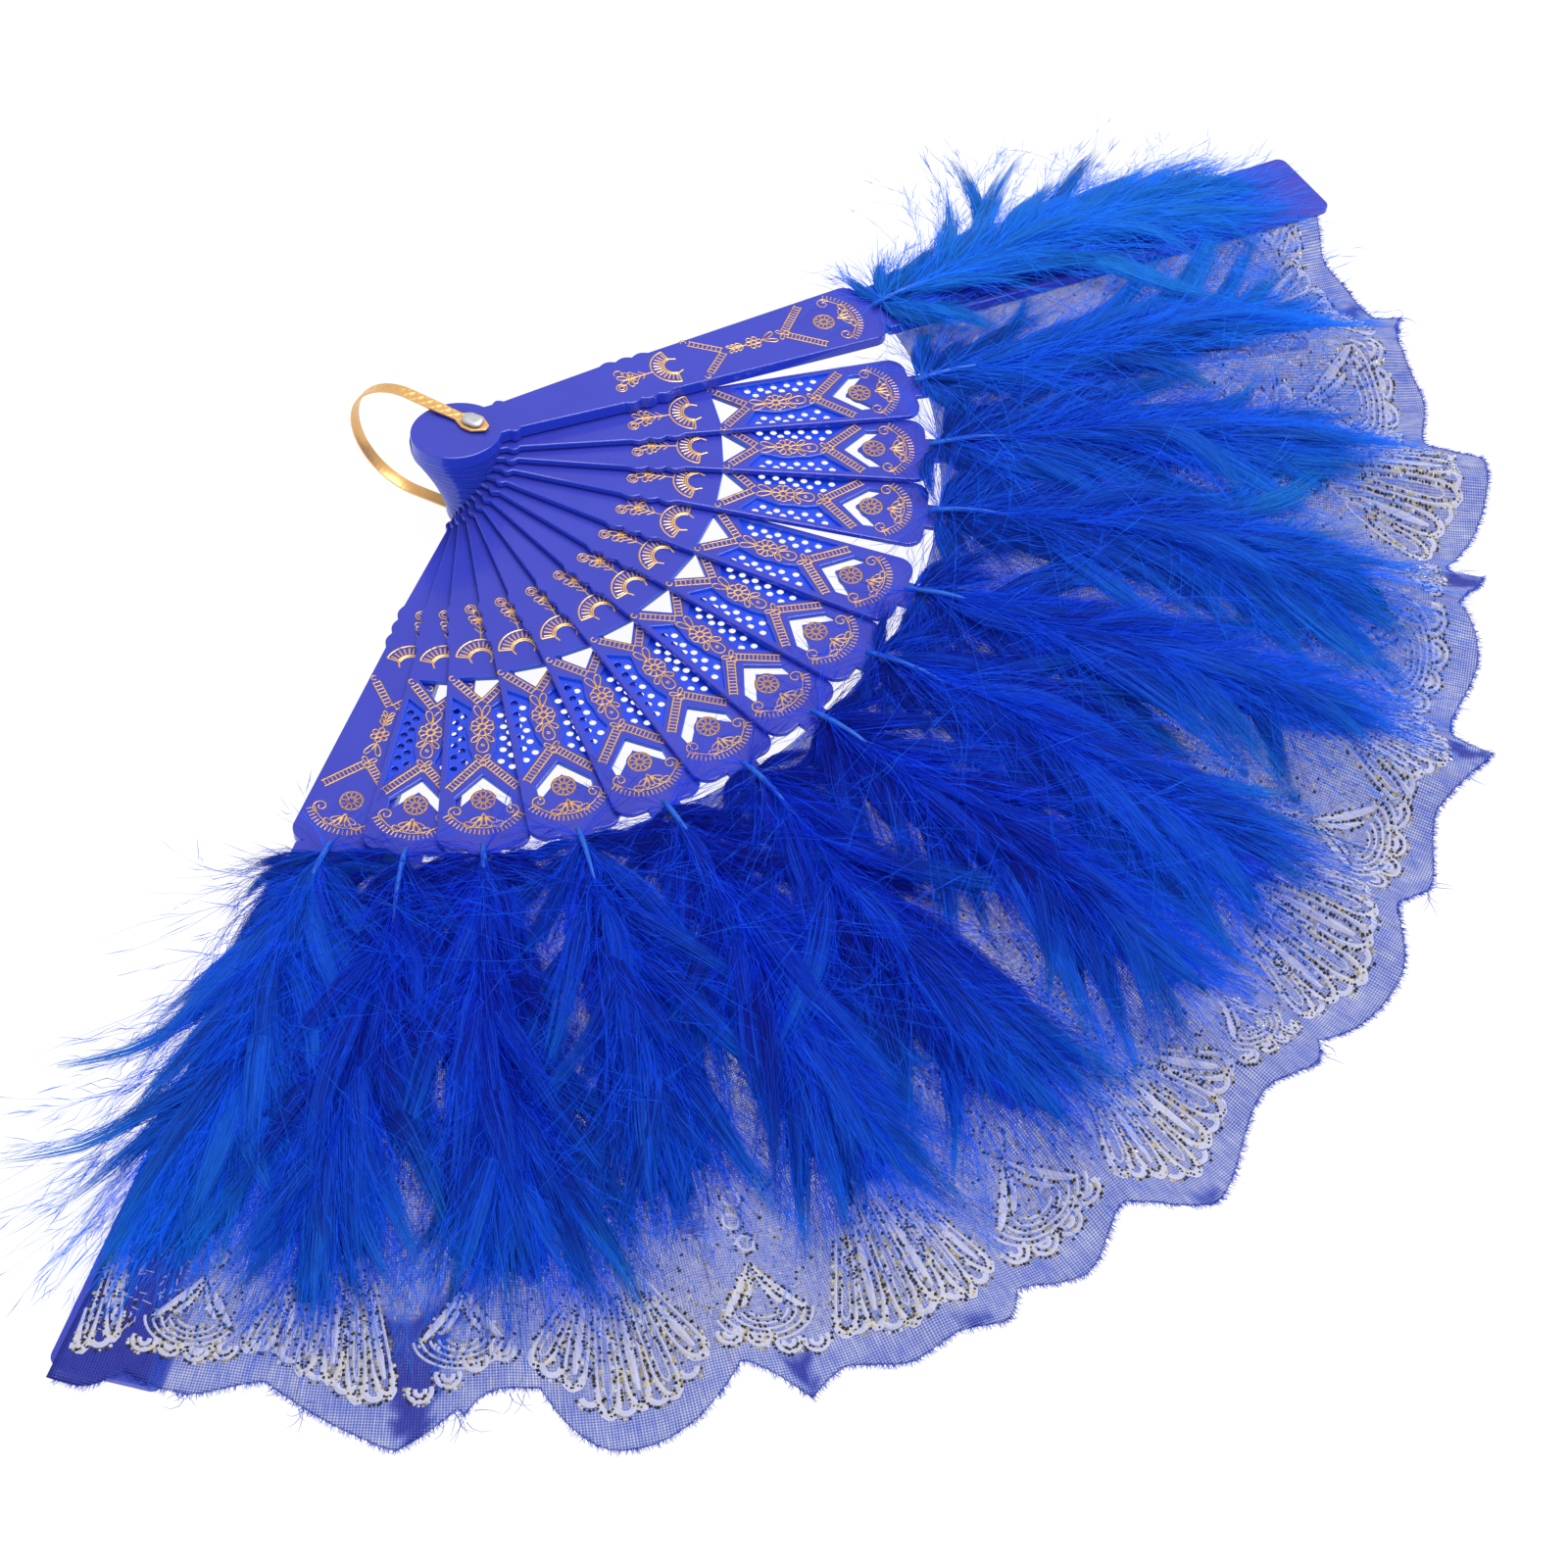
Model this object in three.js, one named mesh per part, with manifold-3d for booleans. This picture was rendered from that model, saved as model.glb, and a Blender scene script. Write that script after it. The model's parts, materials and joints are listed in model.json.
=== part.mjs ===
// Folding fan with pierced sticks, a sheer scalloped leaf, feather plumes and a wrist loop.
// Millimetres. The rivet's axis is Z, its lower head stands on the ground at the origin, and the
// open fan's middle points along +Y. The back guard lies on the ground to the right of +Y, and the
// other sticks climb anticlockwise like a spiral stair to the front guard.
import * as THREE from "three";
import { mergeVertices } from "three/addons/utils/BufferGeometryUtils.js";
import Module from "manifold-3d";

const wasm = await Module();
wasm.setup();

// Opening from each stick to the next, from the back guard to the front guard, in degrees.
const STICK_STEP_DEGREES = [9, 9, 11, 10.5, 10.5, 11, 11, 11, 13, 11, 11, 14];

// Running clearance between stacked sticks, the gap that glued or riveted pieces keep, and what an
// eyelet needs on top of it because the guards' faces lean.
const CLEARANCE = 0.35;
const SEAT_GAP = 0.3;
const TILT_GAP = 0.15;

// Sticks: reach is measured from the rivet's axis.
const HEAD_REACH = 16;
const HEAD_HALF_LENGTH = 11.5;
const HEAD_HALF_WIDTH = 10;
const BEAD_START = 7.4;
const BEAD_LENGTH = 3.2;
const BEAD_SWELL = 0.9;
const NECK_HALF_WIDTH = 5.2;
const WAVE_START = 38;
const WAVE_LENGTH = 4.6;
const WAVE_COUNT = 3;
const WAVE_HEIGHT = 0.8;
const WAVE_HALF_WIDTH = 7.5;
const SHOULDER_REACH = 113;
const SHOULDER_HALF_WIDTH = 10.8;
const SHOULDER_RADIUS = 4.2;
const STICK_THICKNESS = 1.75;
const STICK_TIP_THICKNESS = 0.8;

// Ribs of the inner sticks, under the leaf.
const RIB_REACH = 222;
const RIB_HALF_WIDTH = 3.9;
const RIB_TIP_HALF_WIDTH = 3;

// Guards: the outer plate widens from the shoulder to a square end with round corners.
const GUARD_REACH = 252;
const GUARD_THICKNESS = 3.6;
const GUARD_TIP_THICKNESS = 2.2;
const GUARD_NECK_HALF_WIDTH = 8.5;
const GUARD_NECK_LENGTH = 1;
const GUARD_END_HALF_WIDTH = 12;
const GUARD_CORNER_RADIUS = 2.5;

// Openings of an inner stick.
const TRIANGLE_BASE = 61.5;
const TRIANGLE_APEX = 68;
const TRIANGLE_HALF_WIDTH = 5.4;
const WINDOW_START = 67.5;
const WINDOW_SLANT = 3.6;
const WINDOW_LENGTH = 26;
const ISLAND_HALF_WIDTH = 2.5;
const WINDOW_RIM = 1.5;
const WINDOW_DEPTH_SHARE = 0.4;
const GRILLE_RADIUS = 0.85;
const GRILLE_SIDES = 6;
const GRILLE_PITCH = 3.5;
const GRILLE_ROWS = 6;
const CHEVRON_APEX = 91.6;
const CHEVRON_ARM = 6.2;
const CHEVRON_WIDTH = 3.4;

// Rivet and wrist loop.
const RIVET_RADIUS = 1.5;
const RIVET_FOOT_RADIUS = 2.9;
const RIVET_FOOT_THICKNESS = 1;
const RIVET_HEAD_RADIUS = 2.4;
const RIVET_HEAD_HEIGHT = 1;
const RIVET_FIT = 0.3;
const STRAP_THICKNESS = 0.7;
const STRAP_WIDTH = 3.2;
const EYELET_RADIUS = 3.4;
const LOOP_REACH = 36;
const LOOP_DEGREES = -80;
const LOOP_RISE = 1.4;

// Leaf: one sheer cloth, modelled as the panels between the sticks.
const LEAF_INNER_REACH = 116;
const LEAF_NOTCH_REACH = 253;
const LEAF_TIP_REACH = 261;
const LEAF_SCALLOPS = 14;
const LEAF_THICKNESS = 0.5;
const LEAF_FLAT_MARGIN = 0.6;
const LEAF_SAG_START = 150;
const FIRST_SAGGING_PANEL = 3;

// Feathers: a bare quill, then a plume that swells and tapers.
const QUILL_START = 114;
const QUILL_HALF_WIDTH = 1.1;
const QUILL_HEIGHT = 1.6;
const PLUME_START = 124;
const PLUME_END = 232;
const PLUME_HALF_WIDTH = 17;
const PLUME_HEIGHT = 9;
const PLUME_OUTER_SPREAD = 24;
const PLUME_EDGE_HEIGHT = 0.5;
const PLUME_TUFTS = 6;
const TUFT_DEPTH = 2.5;
const PLUME_RISE_SHARE = 0.6;

const STICK_COUNT = STICK_STEP_DEGREES.length + 1;
const LAST = STICK_COUNT - 1;
const OPENING = STICK_STEP_DEGREES.reduce((sum, gap) => sum + gap, 0);
const GUARD_LIFT = RIVET_FOOT_THICKNESS + STRAP_THICKNESS + 2 * SEAT_GAP + TILT_GAP;

const radians = THREE.MathUtils.degToRad;
const lerp = THREE.MathUtils.lerp;
const clamp = THREE.MathUtils.clamp;
const smoothstep = THREE.MathUtils.smoothstep;

// Direction of each stick in degrees, counted anticlockwise from +X.
const stickAngles = [90 - OPENING / 2];
for (const gap of STICK_STEP_DEGREES) stickAngles.push(stickAngles.at(-1) + gap);

// Stack heights at a distance x along a stick. Every face is a plane that falls towards the tip.
const along = (x) => x / GUARD_REACH;
const stickThickness = (x) => lerp(STICK_THICKNESS, STICK_TIP_THICKNESS, along(x));
const guardThickness = (x) => lerp(GUARD_THICKNESS, GUARD_TIP_THICKNESS, along(x));
const backGuardTop = (x) => lerp(GUARD_LIFT, 0, along(x)) + guardThickness(x);

function stickBottom(index, x) {
  if (index === 0) return backGuardTop(x) - guardThickness(x);
  return backGuardTop(x) + CLEARANCE + (index - 1) * (stickThickness(x) + CLEARANCE);
}

function stickTop(index, x) {
  const isGuard = index === 0 || index === LAST;
  return stickBottom(index, x) + (isGuard ? guardThickness(x) : stickThickness(x));
}

// Materials, one for each kind of finish.
const plastic = new THREE.MeshStandardMaterial({ color: 0x2a2fc0, roughness: 0.3, metalness: 0 });
const cloth = new THREE.MeshStandardMaterial({ color: 0x6f7bdc, roughness: 0.8, metalness: 0 });
const down = new THREE.MeshStandardMaterial({ color: 0x0a55e0, roughness: 0.9, metalness: 0 });
const gold = new THREE.MeshStandardMaterial({ color: 0xd9a441, roughness: 0.3, metalness: 1 });
const steel = new THREE.MeshStandardMaterial({ color: 0xc9ccd2, roughness: 0.25, metalness: 1 });

const fan = new THREE.Group();

function addPiece(name, geometry, material) {
  geometry.computeVertexNormals();
  const piece = new THREE.Mesh(geometry, material);
  piece.name = name;
  fan.add(piece);
  return piece;
}

// Solid of a closed geometry, for cutting and joining.
function solidOf(geometry) {
  const bare = geometry.clone();
  bare.deleteAttribute("normal");
  bare.deleteAttribute("uv");
  const merged = mergeVertices(bare, 1e-4);
  return new wasm.Manifold(
    new wasm.Mesh({
      numProp: 3,
      vertProperties: merged.attributes.position.array,
      triVerts: new Uint32Array(merged.index.array),
    }),
  );
}

function geometryOf(solid) {
  const mesh = solid.getMesh();
  return new THREE.BufferGeometry()
    .setAttribute("position", new THREE.BufferAttribute(mesh.vertProperties, 3))
    .setIndex(new THREE.BufferAttribute(mesh.triVerts, 1));
}

// Upright prism of an outline of [x, y] points, from one height to another.
function prism(points, bottom, top) {
  const shape = new THREE.Shape(points.map(([x, y]) => new THREE.Vector2(x, y)));
  const solid = new THREE.ExtrudeGeometry(shape, {
    depth: top - bottom,
    bevelEnabled: false,
  });
  return solidOf(solid.translate(0, 0, bottom));
}

const mirrored = (points) => points.map(([x, y]) => [x, -y]).reverse();

// Outline of the blade's left edge, from the end of the head to the middle of the shoulder.
function bladeEdge() {
  const edge = [];
  const headCentre = HEAD_HALF_LENGTH - HEAD_REACH;
  for (let step = 0; step <= 6; step++) {
    const turn = lerp(0, Math.PI - 0.55, step / 6);
    edge.push([headCentre - HEAD_HALF_LENGTH * Math.cos(turn), HEAD_HALF_WIDTH * Math.sin(turn)]);
  }
  for (let step = 0; step <= 3; step++) {
    const swell = BEAD_SWELL * Math.sin((Math.PI * step) / 3);
    edge.push([BEAD_START + (BEAD_LENGTH * step) / 3, NECK_HALF_WIDTH + swell]);
  }
  for (let step = 0; step <= 3 * WAVE_COUNT; step++) {
    const swell = WAVE_HEIGHT * Math.abs(Math.sin((Math.PI * step) / 3));
    edge.push([WAVE_START + (WAVE_LENGTH * step) / 3, WAVE_HALF_WIDTH + swell]);
  }
  return edge.concat(shoulderCorner());
}

function shoulderCorner() {
  const corner = [];
  for (let step = 0; step <= 3; step++) {
    const turn = (Math.PI / 2) * (1 - step / 3);
    corner.push([
      SHOULDER_REACH - SHOULDER_RADIUS * (1 - Math.cos(turn)),
      SHOULDER_HALF_WIDTH - SHOULDER_RADIUS * (1 - Math.sin(turn)),
    ]);
  }
  return corner;
}

// Outline of the rib past the shoulder, with a round tip.
function ribEdge() {
  return [
    [SHOULDER_REACH, RIB_HALF_WIDTH],
    [RIB_REACH - RIB_TIP_HALF_WIDTH, RIB_TIP_HALF_WIDTH],
    [RIB_REACH - 0.3 * RIB_TIP_HALF_WIDTH, 0.7 * RIB_TIP_HALF_WIDTH],
    [RIB_REACH, 0],
  ];
}

// Outline of a guard's outer plate.
function guardEdge() {
  return [
    [SHOULDER_REACH + GUARD_NECK_LENGTH, GUARD_NECK_HALF_WIDTH],
    [GUARD_REACH - GUARD_CORNER_RADIUS, GUARD_END_HALF_WIDTH],
    [GUARD_REACH - 0.3 * GUARD_CORNER_RADIUS, GUARD_END_HALF_WIDTH - 0.3 * GUARD_CORNER_RADIUS],
    [GUARD_REACH, GUARD_END_HALF_WIDTH - GUARD_CORNER_RADIUS],
  ];
}

// Closed outline from its left half; points on the middle line are kept once.
function closedOutline(half) {
  const right = mirrored(half).filter(([, y]) => y !== 0);
  return half.concat(right).reverse();
}

// Upright cutter for the rivet's shank, half of it on each side of the ground.
function rivetHole(height) {
  const bore = RIVET_RADIUS + RIVET_FIT;
  return solidOf(new THREE.CylinderGeometry(bore, bore, height, 16).rotateX(Math.PI / 2));
}

// Slanted window beside the middle island; the two windows of a stick mirror each other.
function windowOutline() {
  const end = WINDOW_START + WINDOW_LENGTH;
  return [
    [WINDOW_START + WINDOW_SLANT, ISLAND_HALF_WIDTH],
    [end - 2 * WINDOW_SLANT, ISLAND_HALF_WIDTH],
    [end, bladeHalfWidth(end) - WINDOW_RIM],
    [WINDOW_START, bladeHalfWidth(WINDOW_START) - WINDOW_RIM],
  ];
}

// Half width of the blade between its waves and its shoulder.
function bladeHalfWidth(x) {
  const start = WAVE_START + WAVE_COUNT * WAVE_LENGTH;
  return lerp(WAVE_HALF_WIDTH, SHOULDER_HALF_WIDTH, (x - start) / (SHOULDER_REACH - SHOULDER_RADIUS - start));
}

function grilleHoles() {
  const holes = [];
  for (let column = 0; column < 2; column++) {
    for (let row = 0; row < GRILLE_ROWS - column; row++) {
      const x = WINDOW_START + WINDOW_SLANT + GRILLE_PITCH * (row + 0.5 * column);
      const outer = bladeHalfWidth(x) - WINDOW_RIM;
      const y = lerp(ISLAND_HALF_WIDTH, outer, column === 0 ? 0.76 : 0.3);
      holes.push(roundHole(x, y));
    }
  }
  return holes;
}

function roundHole(x, y) {
  const corners = [];
  for (let step = 0; step < GRILLE_SIDES; step++) {
    const turn = (2 * Math.PI * step) / GRILLE_SIDES;
    corners.push([x + GRILLE_RADIUS * Math.cos(turn), y + GRILLE_RADIUS * Math.sin(turn)]);
  }
  return corners;
}

function chevronOutline() {
  const half = [
    [CHEVRON_APEX + CHEVRON_ARM, CHEVRON_ARM],
    [CHEVRON_APEX + CHEVRON_ARM + CHEVRON_WIDTH, CHEVRON_ARM],
  ];
  return [
    [CHEVRON_APEX, 0],
    [half[0][0], -CHEVRON_ARM],
    [half[1][0], -CHEVRON_ARM],
    [CHEVRON_APEX + CHEVRON_WIDTH, 0],
    half[1],
    half[0],
  ];
}

// All cuts of an inner stick, made on a plate whose faces lie at -0.5 and 0.5.
function pierce(plate) {
  const triangle = [
    [TRIANGLE_BASE, -TRIANGLE_HALF_WIDTH],
    [TRIANGLE_APEX, 0],
    [TRIANGLE_BASE, TRIANGLE_HALF_WIDTH],
  ];
  let cut = plate.subtract(prism(triangle, -1, 1)).subtract(prism(chevronOutline(), -1, 1));
  const floor = 0.5 - WINDOW_DEPTH_SHARE;
  for (const side of [(points) => points, mirrored]) {
    cut = cut.subtract(prism(side(windowOutline()), floor, 1));
    for (const hole of grilleHoles()) cut = cut.subtract(prism(side(hole), -1, 1));
  }
  return cut;
}

// One stick: a unit plate is cut, laid between its bottom and top planes, and turned to its angle.
function makeStick(index) {
  const isGuard = index === 0 || index === LAST;
  const half = bladeEdge().concat(isGuard ? guardEdge() : ribEdge());
  let plate = prism(closedOutline(half), -0.5, 0.5).subtract(rivetHole(GUARD_THICKNESS));
  if (!isGuard) plate = pierce(plate);
  const geometry = geometryOf(plate);
  const position = geometry.attributes.position;
  for (let i = 0; i < position.count; i++) {
    const x = position.getX(i);
    const level = position.getZ(i) + 0.5;
    position.setZ(i, lerp(stickBottom(index, x), stickTop(index, x), level));
  }
  return geometry.rotateZ(radians(stickAngles[index]));
}

// Closed solid between two sheets of rows of [x, y, z] points, bottom and top.
function slab(bottom, top) {
  const rows = bottom.length;
  const columns = bottom[0].length;
  const points = [...bottom.flat(), ...top.flat()].flat();
  const at = (level, row, column) => (level * rows + row) * columns + column;
  const faces = [];
  const quad = (a, b, c, d) => faces.push(a, b, c, a, c, d);
  for (let row = 0; row < rows - 1; row++) {
    for (let column = 0; column < columns - 1; column++) {
      quad(at(0, row, column), at(0, row, column + 1), at(0, row + 1, column + 1), at(0, row + 1, column));
      quad(at(1, row, column), at(1, row + 1, column), at(1, row + 1, column + 1), at(1, row, column + 1));
    }
  }
  for (let row = 0; row < rows - 1; row++) {
    quad(at(0, row, 0), at(0, row + 1, 0), at(1, row + 1, 0), at(1, row, 0));
    const end = columns - 1;
    quad(at(0, row, end), at(1, row, end), at(1, row + 1, end), at(0, row + 1, end));
  }
  for (let column = 0; column < columns - 1; column++) {
    quad(at(0, 0, column), at(1, 0, column), at(1, 0, column + 1), at(0, 0, column + 1));
    const end = rows - 1;
    quad(at(0, end, column), at(0, end, column + 1), at(1, end, column + 1), at(1, end, column));
  }
  return new THREE.BufferGeometry()
    .setAttribute("position", new THREE.Float32BufferAttribute(points, 3))
    .setIndex(faces);
}

const polar = (reach, degrees, z) => [
  reach * Math.cos(radians(degrees)),
  reach * Math.sin(radians(degrees)),
  z,
];

// Reach of the leaf's rim: concave arcs between pointed tips.
function rimReach(degrees) {
  const turn = ((degrees - stickAngles[0]) / OPENING) * LEAF_SCALLOPS;
  const bow = Math.abs(Math.sin(Math.PI * (turn - 0.5)));
  return lerp(LEAF_TIP_REACH, LEAF_NOTCH_REACH, bow ** 0.8);
}

// Height of the leaf's underside in the panel that ends at stick `panel`.
function leafBottom(panel, reach, degrees) {
  const start = stickAngles[panel - 1];
  const end = stickAngles[panel];
  const flatStart = ribHalfWidth(panel - 1, reach) + LEAF_FLAT_MARGIN;
  const flatEnd = ribHalfWidth(panel, reach) + LEAF_FLAT_MARGIN;
  const width = reach * radians(end - start);
  const place = reach * radians(degrees - start);
  const low = stickTop(panel - 1, reach) + SEAT_GAP;
  const high =
    panel === LAST
      ? stickBottom(panel, reach) - SEAT_GAP - LEAF_THICKNESS
      : stickTop(panel, reach) + SEAT_GAP;
  const share = clamp((place - flatStart) / (width - flatStart - flatEnd), 0, 1);
  const level = lerp(low, high, share);
  if (panel < FIRST_SAGGING_PANEL) return level;
  const droop = smoothstep(reach, LEAF_SAG_START, LEAF_NOTCH_REACH) * Math.sin(Math.PI * share);
  return level * (1 - droop);
}

// Half width of what the leaf is glued to at a reach: a guard's plate, a rib, or nothing past a rib.
function ribHalfWidth(index, reach) {
  if (index === 0 || index === LAST) {
    const share = (reach - SHOULDER_REACH) / (GUARD_REACH - SHOULDER_REACH);
    return lerp(GUARD_NECK_HALF_WIDTH, GUARD_END_HALF_WIDTH, share);
  }
  const share = (reach - SHOULDER_REACH) / (RIB_REACH - SHOULDER_REACH);
  return lerp(RIB_HALF_WIDTH, RIB_TIP_HALF_WIDTH, Math.min(share, 1));
}

// Panel of the leaf between two sticks. Its columns are closer over the sticks than between them.
function makeLeafPanel(panel) {
  const start = stickAngles[panel - 1];
  const end = stickAngles[panel];
  const bottom = [];
  const top = [];
  for (const depth of [0, 0.28, 0.52, 0.72, 0.88, 1]) {
    const bottomRow = [];
    const topRow = [];
    for (const place of leafColumns(panel, depth)) {
      const reach = lerp(LEAF_INNER_REACH, rimReach(lerp(start, end, place)), depth);
      const inset = THREE.MathUtils.radToDeg(SEAT_GAP / 2 / reach);
      const degrees = lerp(start + inset, end - inset, place);
      const z = leafBottom(panel, reach, degrees);
      bottomRow.push(polar(reach, degrees, z));
      topRow.push(polar(reach, degrees, z + LEAF_THICKNESS));
    }
    bottom.push(bottomRow);
    top.push(topRow);
  }
  return slab(bottom, top);
}

// Places of a row's columns across a panel, from 0 to 1: both middle lines, and the span between.
function leafColumns(panel, depth) {
  const reach = lerp(LEAF_INNER_REACH, LEAF_NOTCH_REACH, depth);
  const width = reach * radians(stickAngles[panel] - stickAngles[panel - 1]);
  const flatStart = (ribHalfWidth(panel - 1, reach) + LEAF_FLAT_MARGIN) / width;
  const flatEnd = 1 - (ribHalfWidth(panel, reach) + LEAF_FLAT_MARGIN) / width;
  const places = [0];
  for (let step = 0; step <= 6; step++) places.push(lerp(flatStart, flatEnd, step / 6));
  places.push(1);
  return places;
}

// Underside of a feather at a share across it, from -1 towards the back guard to 1 away from it. It
// lies on the leaf over its own stick and rises with the leaf towards the next stick.
function featherBottom(index, reach, across) {
  const seat = stickTop(index, reach) + SEAT_GAP;
  if (index === LAST) return seat;
  const rise = PLUME_RISE_SHARE * (stickThickness(reach) + CLEARANCE) * Math.max(across, 0);
  return seat + LEAF_THICKNESS + SEAT_GAP + rise;
}

// Half width of a feather on one side of its quill: side is -1 towards the back guard, 1 away from it.
function featherHalfWidth(index, side, reach) {
  const neighbour = index + side;
  const free = neighbour < 0 || neighbour > LAST;
  const share = clamp((reach - PLUME_START) / (PLUME_END - PLUME_START), 0, 1);
  const swell = Math.sin(Math.PI * Math.min(share * 1.15, 1)) ** 0.6;
  if (free) return QUILL_HALF_WIDTH + PLUME_OUTER_SPREAD * swell;
  const half = Math.abs(stickAngles[neighbour] - stickAngles[index]) / 2;
  const room = reach * radians(half) - SEAT_GAP;
  return Math.min(QUILL_HALF_WIDTH + PLUME_HALF_WIDTH * swell, room);
}

// Feather: a quill and a plume, lying on the leaf between its neighbours. Every other row of the
// plume is drawn in, so its edge is a row of tufts.
function makeFeather(index) {
  const bottom = [];
  const top = [];
  const rows = [[QUILL_START, 0], [PLUME_START, 0]];
  for (let step = 1; step <= 2 * PLUME_TUFTS; step++) {
    const reach = lerp(PLUME_START, PLUME_END, step / (2 * PLUME_TUFTS + 0.5));
    rows.push([reach, step % 2 ? TUFT_DEPTH : 0]);
  }
  for (const [reach, drawnIn] of rows) {
    const plume = clamp((reach - PLUME_START) / (PLUME_END - PLUME_START), 0, 1);
    const crest = QUILL_HEIGHT + PLUME_HEIGHT * Math.sin(Math.PI * plume) ** 0.6;
    const bottomRow = [];
    const topRow = [];
    for (const across of [-1, -0.55, 0, 0.55, 1]) {
      const side = Math.sign(across) || 1;
      const width = Math.max(featherHalfWidth(index, side, reach) - drawnIn, QUILL_HALF_WIDTH);
      const degrees = stickAngles[index] + THREE.MathUtils.radToDeg((across * width) / reach);
      const z = featherBottom(index, reach, across);
      const height = lerp(crest, PLUME_EDGE_HEIGHT, across * across);
      bottomRow.push(polar(reach, degrees, z));
      topRow.push(polar(reach, degrees, z + height));
    }
    bottom.push(bottomRow);
    top.push(topRow);
  }
  return slab(bottom, top);
}

// Wrist loop: a U in the upright plane through the rivet, an eyelet at each end.
const lowerRun = RIVET_FOOT_THICKNESS + SEAT_GAP + STRAP_THICKNESS / 2;
const upperRun = stickTop(LAST, 0) + SEAT_GAP + TILT_GAP + STRAP_THICKNESS / 2;

function loopPath() {
  const bend = (upperRun + LOOP_RISE - lowerRun) / 2;
  const centre = LOOP_REACH - bend;
  const path = [
    [EYELET_RADIUS * 0.8, lowerRun],
    [centre * 0.5, lowerRun],
  ];
  for (let step = 0; step <= 12; step++) {
    const turn = (Math.PI * step) / 12;
    path.push([centre + bend * Math.sin(turn), lowerRun + bend * (1 - Math.cos(turn))]);
  }
  path.push([EYELET_RADIUS * 0.8, upperRun]);
  return path;
}

function strap() {
  const path = loopPath();
  const inner = [];
  const outer = [];
  path.forEach(([reach, z], i) => {
    const before = path[Math.max(i - 1, 0)];
    const after = path[Math.min(i + 1, path.length - 1)];
    const step = Math.hypot(after[0] - before[0], after[1] - before[1]);
    const normal = [(after[1] - before[1]) / step, -(after[0] - before[0]) / step];
    const half = STRAP_THICKNESS / 2;
    const row = (sign) =>
      [-1, 1].map((side) => [
        reach + sign * half * normal[0],
        (side * STRAP_WIDTH) / 2,
        z + sign * half * normal[1],
      ]);
    inner.push(row(-1));
    outer.push(row(1));
  });
  return slab(outer, inner);
}

function eyelet(z) {
  const disc = new THREE.CylinderGeometry(EYELET_RADIUS, EYELET_RADIUS, STRAP_THICKNESS, 20);
  return solidOf(disc.rotateX(Math.PI / 2).translate(0, 0, z));
}

function makeWristLoop() {
  const joined = solidOf(strap()).add(eyelet(lowerRun)).add(eyelet(upperRun));
  return geometryOf(joined.subtract(rivetHole(3 * upperRun))).rotateZ(radians(LOOP_DEGREES));
}

// Rivet: foot, shank and domed head in one turned piece.
function makeRivet() {
  const headStart = upperRun + STRAP_THICKNESS / 2 + SEAT_GAP;
  const profile = [
    [0, 0],
    [RIVET_FOOT_RADIUS, 0],
    [RIVET_FOOT_RADIUS, RIVET_FOOT_THICKNESS],
    [RIVET_RADIUS, RIVET_FOOT_THICKNESS],
    [RIVET_RADIUS, headStart],
    [RIVET_HEAD_RADIUS, headStart],
  ];
  for (let step = 1; step <= 3; step++) {
    const turn = (Math.PI / 2) * (step / 3);
    const radius = step === 3 ? 0 : RIVET_HEAD_RADIUS * Math.cos(turn);
    profile.push([radius, headStart + RIVET_HEAD_HEIGHT * Math.sin(turn)]);
  }
  const points = profile.map(([radius, z]) => new THREE.Vector2(radius, z));
  return geometryOf(solidOf(new THREE.LatheGeometry(points, 20).rotateX(Math.PI / 2)));
}

const twoDigits = (index) => String(index).padStart(2, "0");

function stickName(index) {
  if (index === 0) return "back_guard";
  return index === LAST ? "front_guard" : "stick_" + twoDigits(index);
}

for (let index = 0; index <= LAST; index++) {
  addPiece(stickName(index), makeStick(index), plastic);
  addPiece("feather_" + twoDigits(index), makeFeather(index), down);
  if (index > 0) addPiece("leaf_panel_" + twoDigits(index), makeLeafPanel(index), cloth);
}
addPiece("wrist_loop", makeWristLoop(), gold);
addPiece("pivot_rivet", makeRivet(), steel);

export default fan;
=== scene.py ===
# Folding fan: pierced plastic sticks with a gold foil print, a sheer scalloped leaf, marabou plumes
# and a gold wrist strap on the rivet. Sizes are in millimetres, and MM turns them into metres.
import json

import bpy
import numpy as np
from mathutils import Matrix, Vector
from mathutils.geometry import tessellate_polygon


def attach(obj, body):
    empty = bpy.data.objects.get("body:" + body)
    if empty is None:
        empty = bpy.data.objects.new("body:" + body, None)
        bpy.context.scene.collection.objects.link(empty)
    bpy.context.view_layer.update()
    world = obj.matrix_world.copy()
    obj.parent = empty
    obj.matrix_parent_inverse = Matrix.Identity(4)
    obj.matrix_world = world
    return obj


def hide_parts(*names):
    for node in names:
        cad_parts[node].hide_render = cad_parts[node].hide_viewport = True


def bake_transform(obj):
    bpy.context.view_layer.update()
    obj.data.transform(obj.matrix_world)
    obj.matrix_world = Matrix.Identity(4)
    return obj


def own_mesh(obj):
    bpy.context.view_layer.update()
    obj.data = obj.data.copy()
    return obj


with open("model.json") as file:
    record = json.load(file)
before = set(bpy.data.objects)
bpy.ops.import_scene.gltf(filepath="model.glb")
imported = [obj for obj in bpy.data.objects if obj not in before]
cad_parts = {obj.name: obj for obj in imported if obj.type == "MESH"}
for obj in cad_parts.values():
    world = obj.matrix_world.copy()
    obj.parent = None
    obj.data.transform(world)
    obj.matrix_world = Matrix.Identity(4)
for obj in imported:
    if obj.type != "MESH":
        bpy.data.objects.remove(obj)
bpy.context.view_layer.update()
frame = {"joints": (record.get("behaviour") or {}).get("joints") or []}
MM = 0.001


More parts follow.
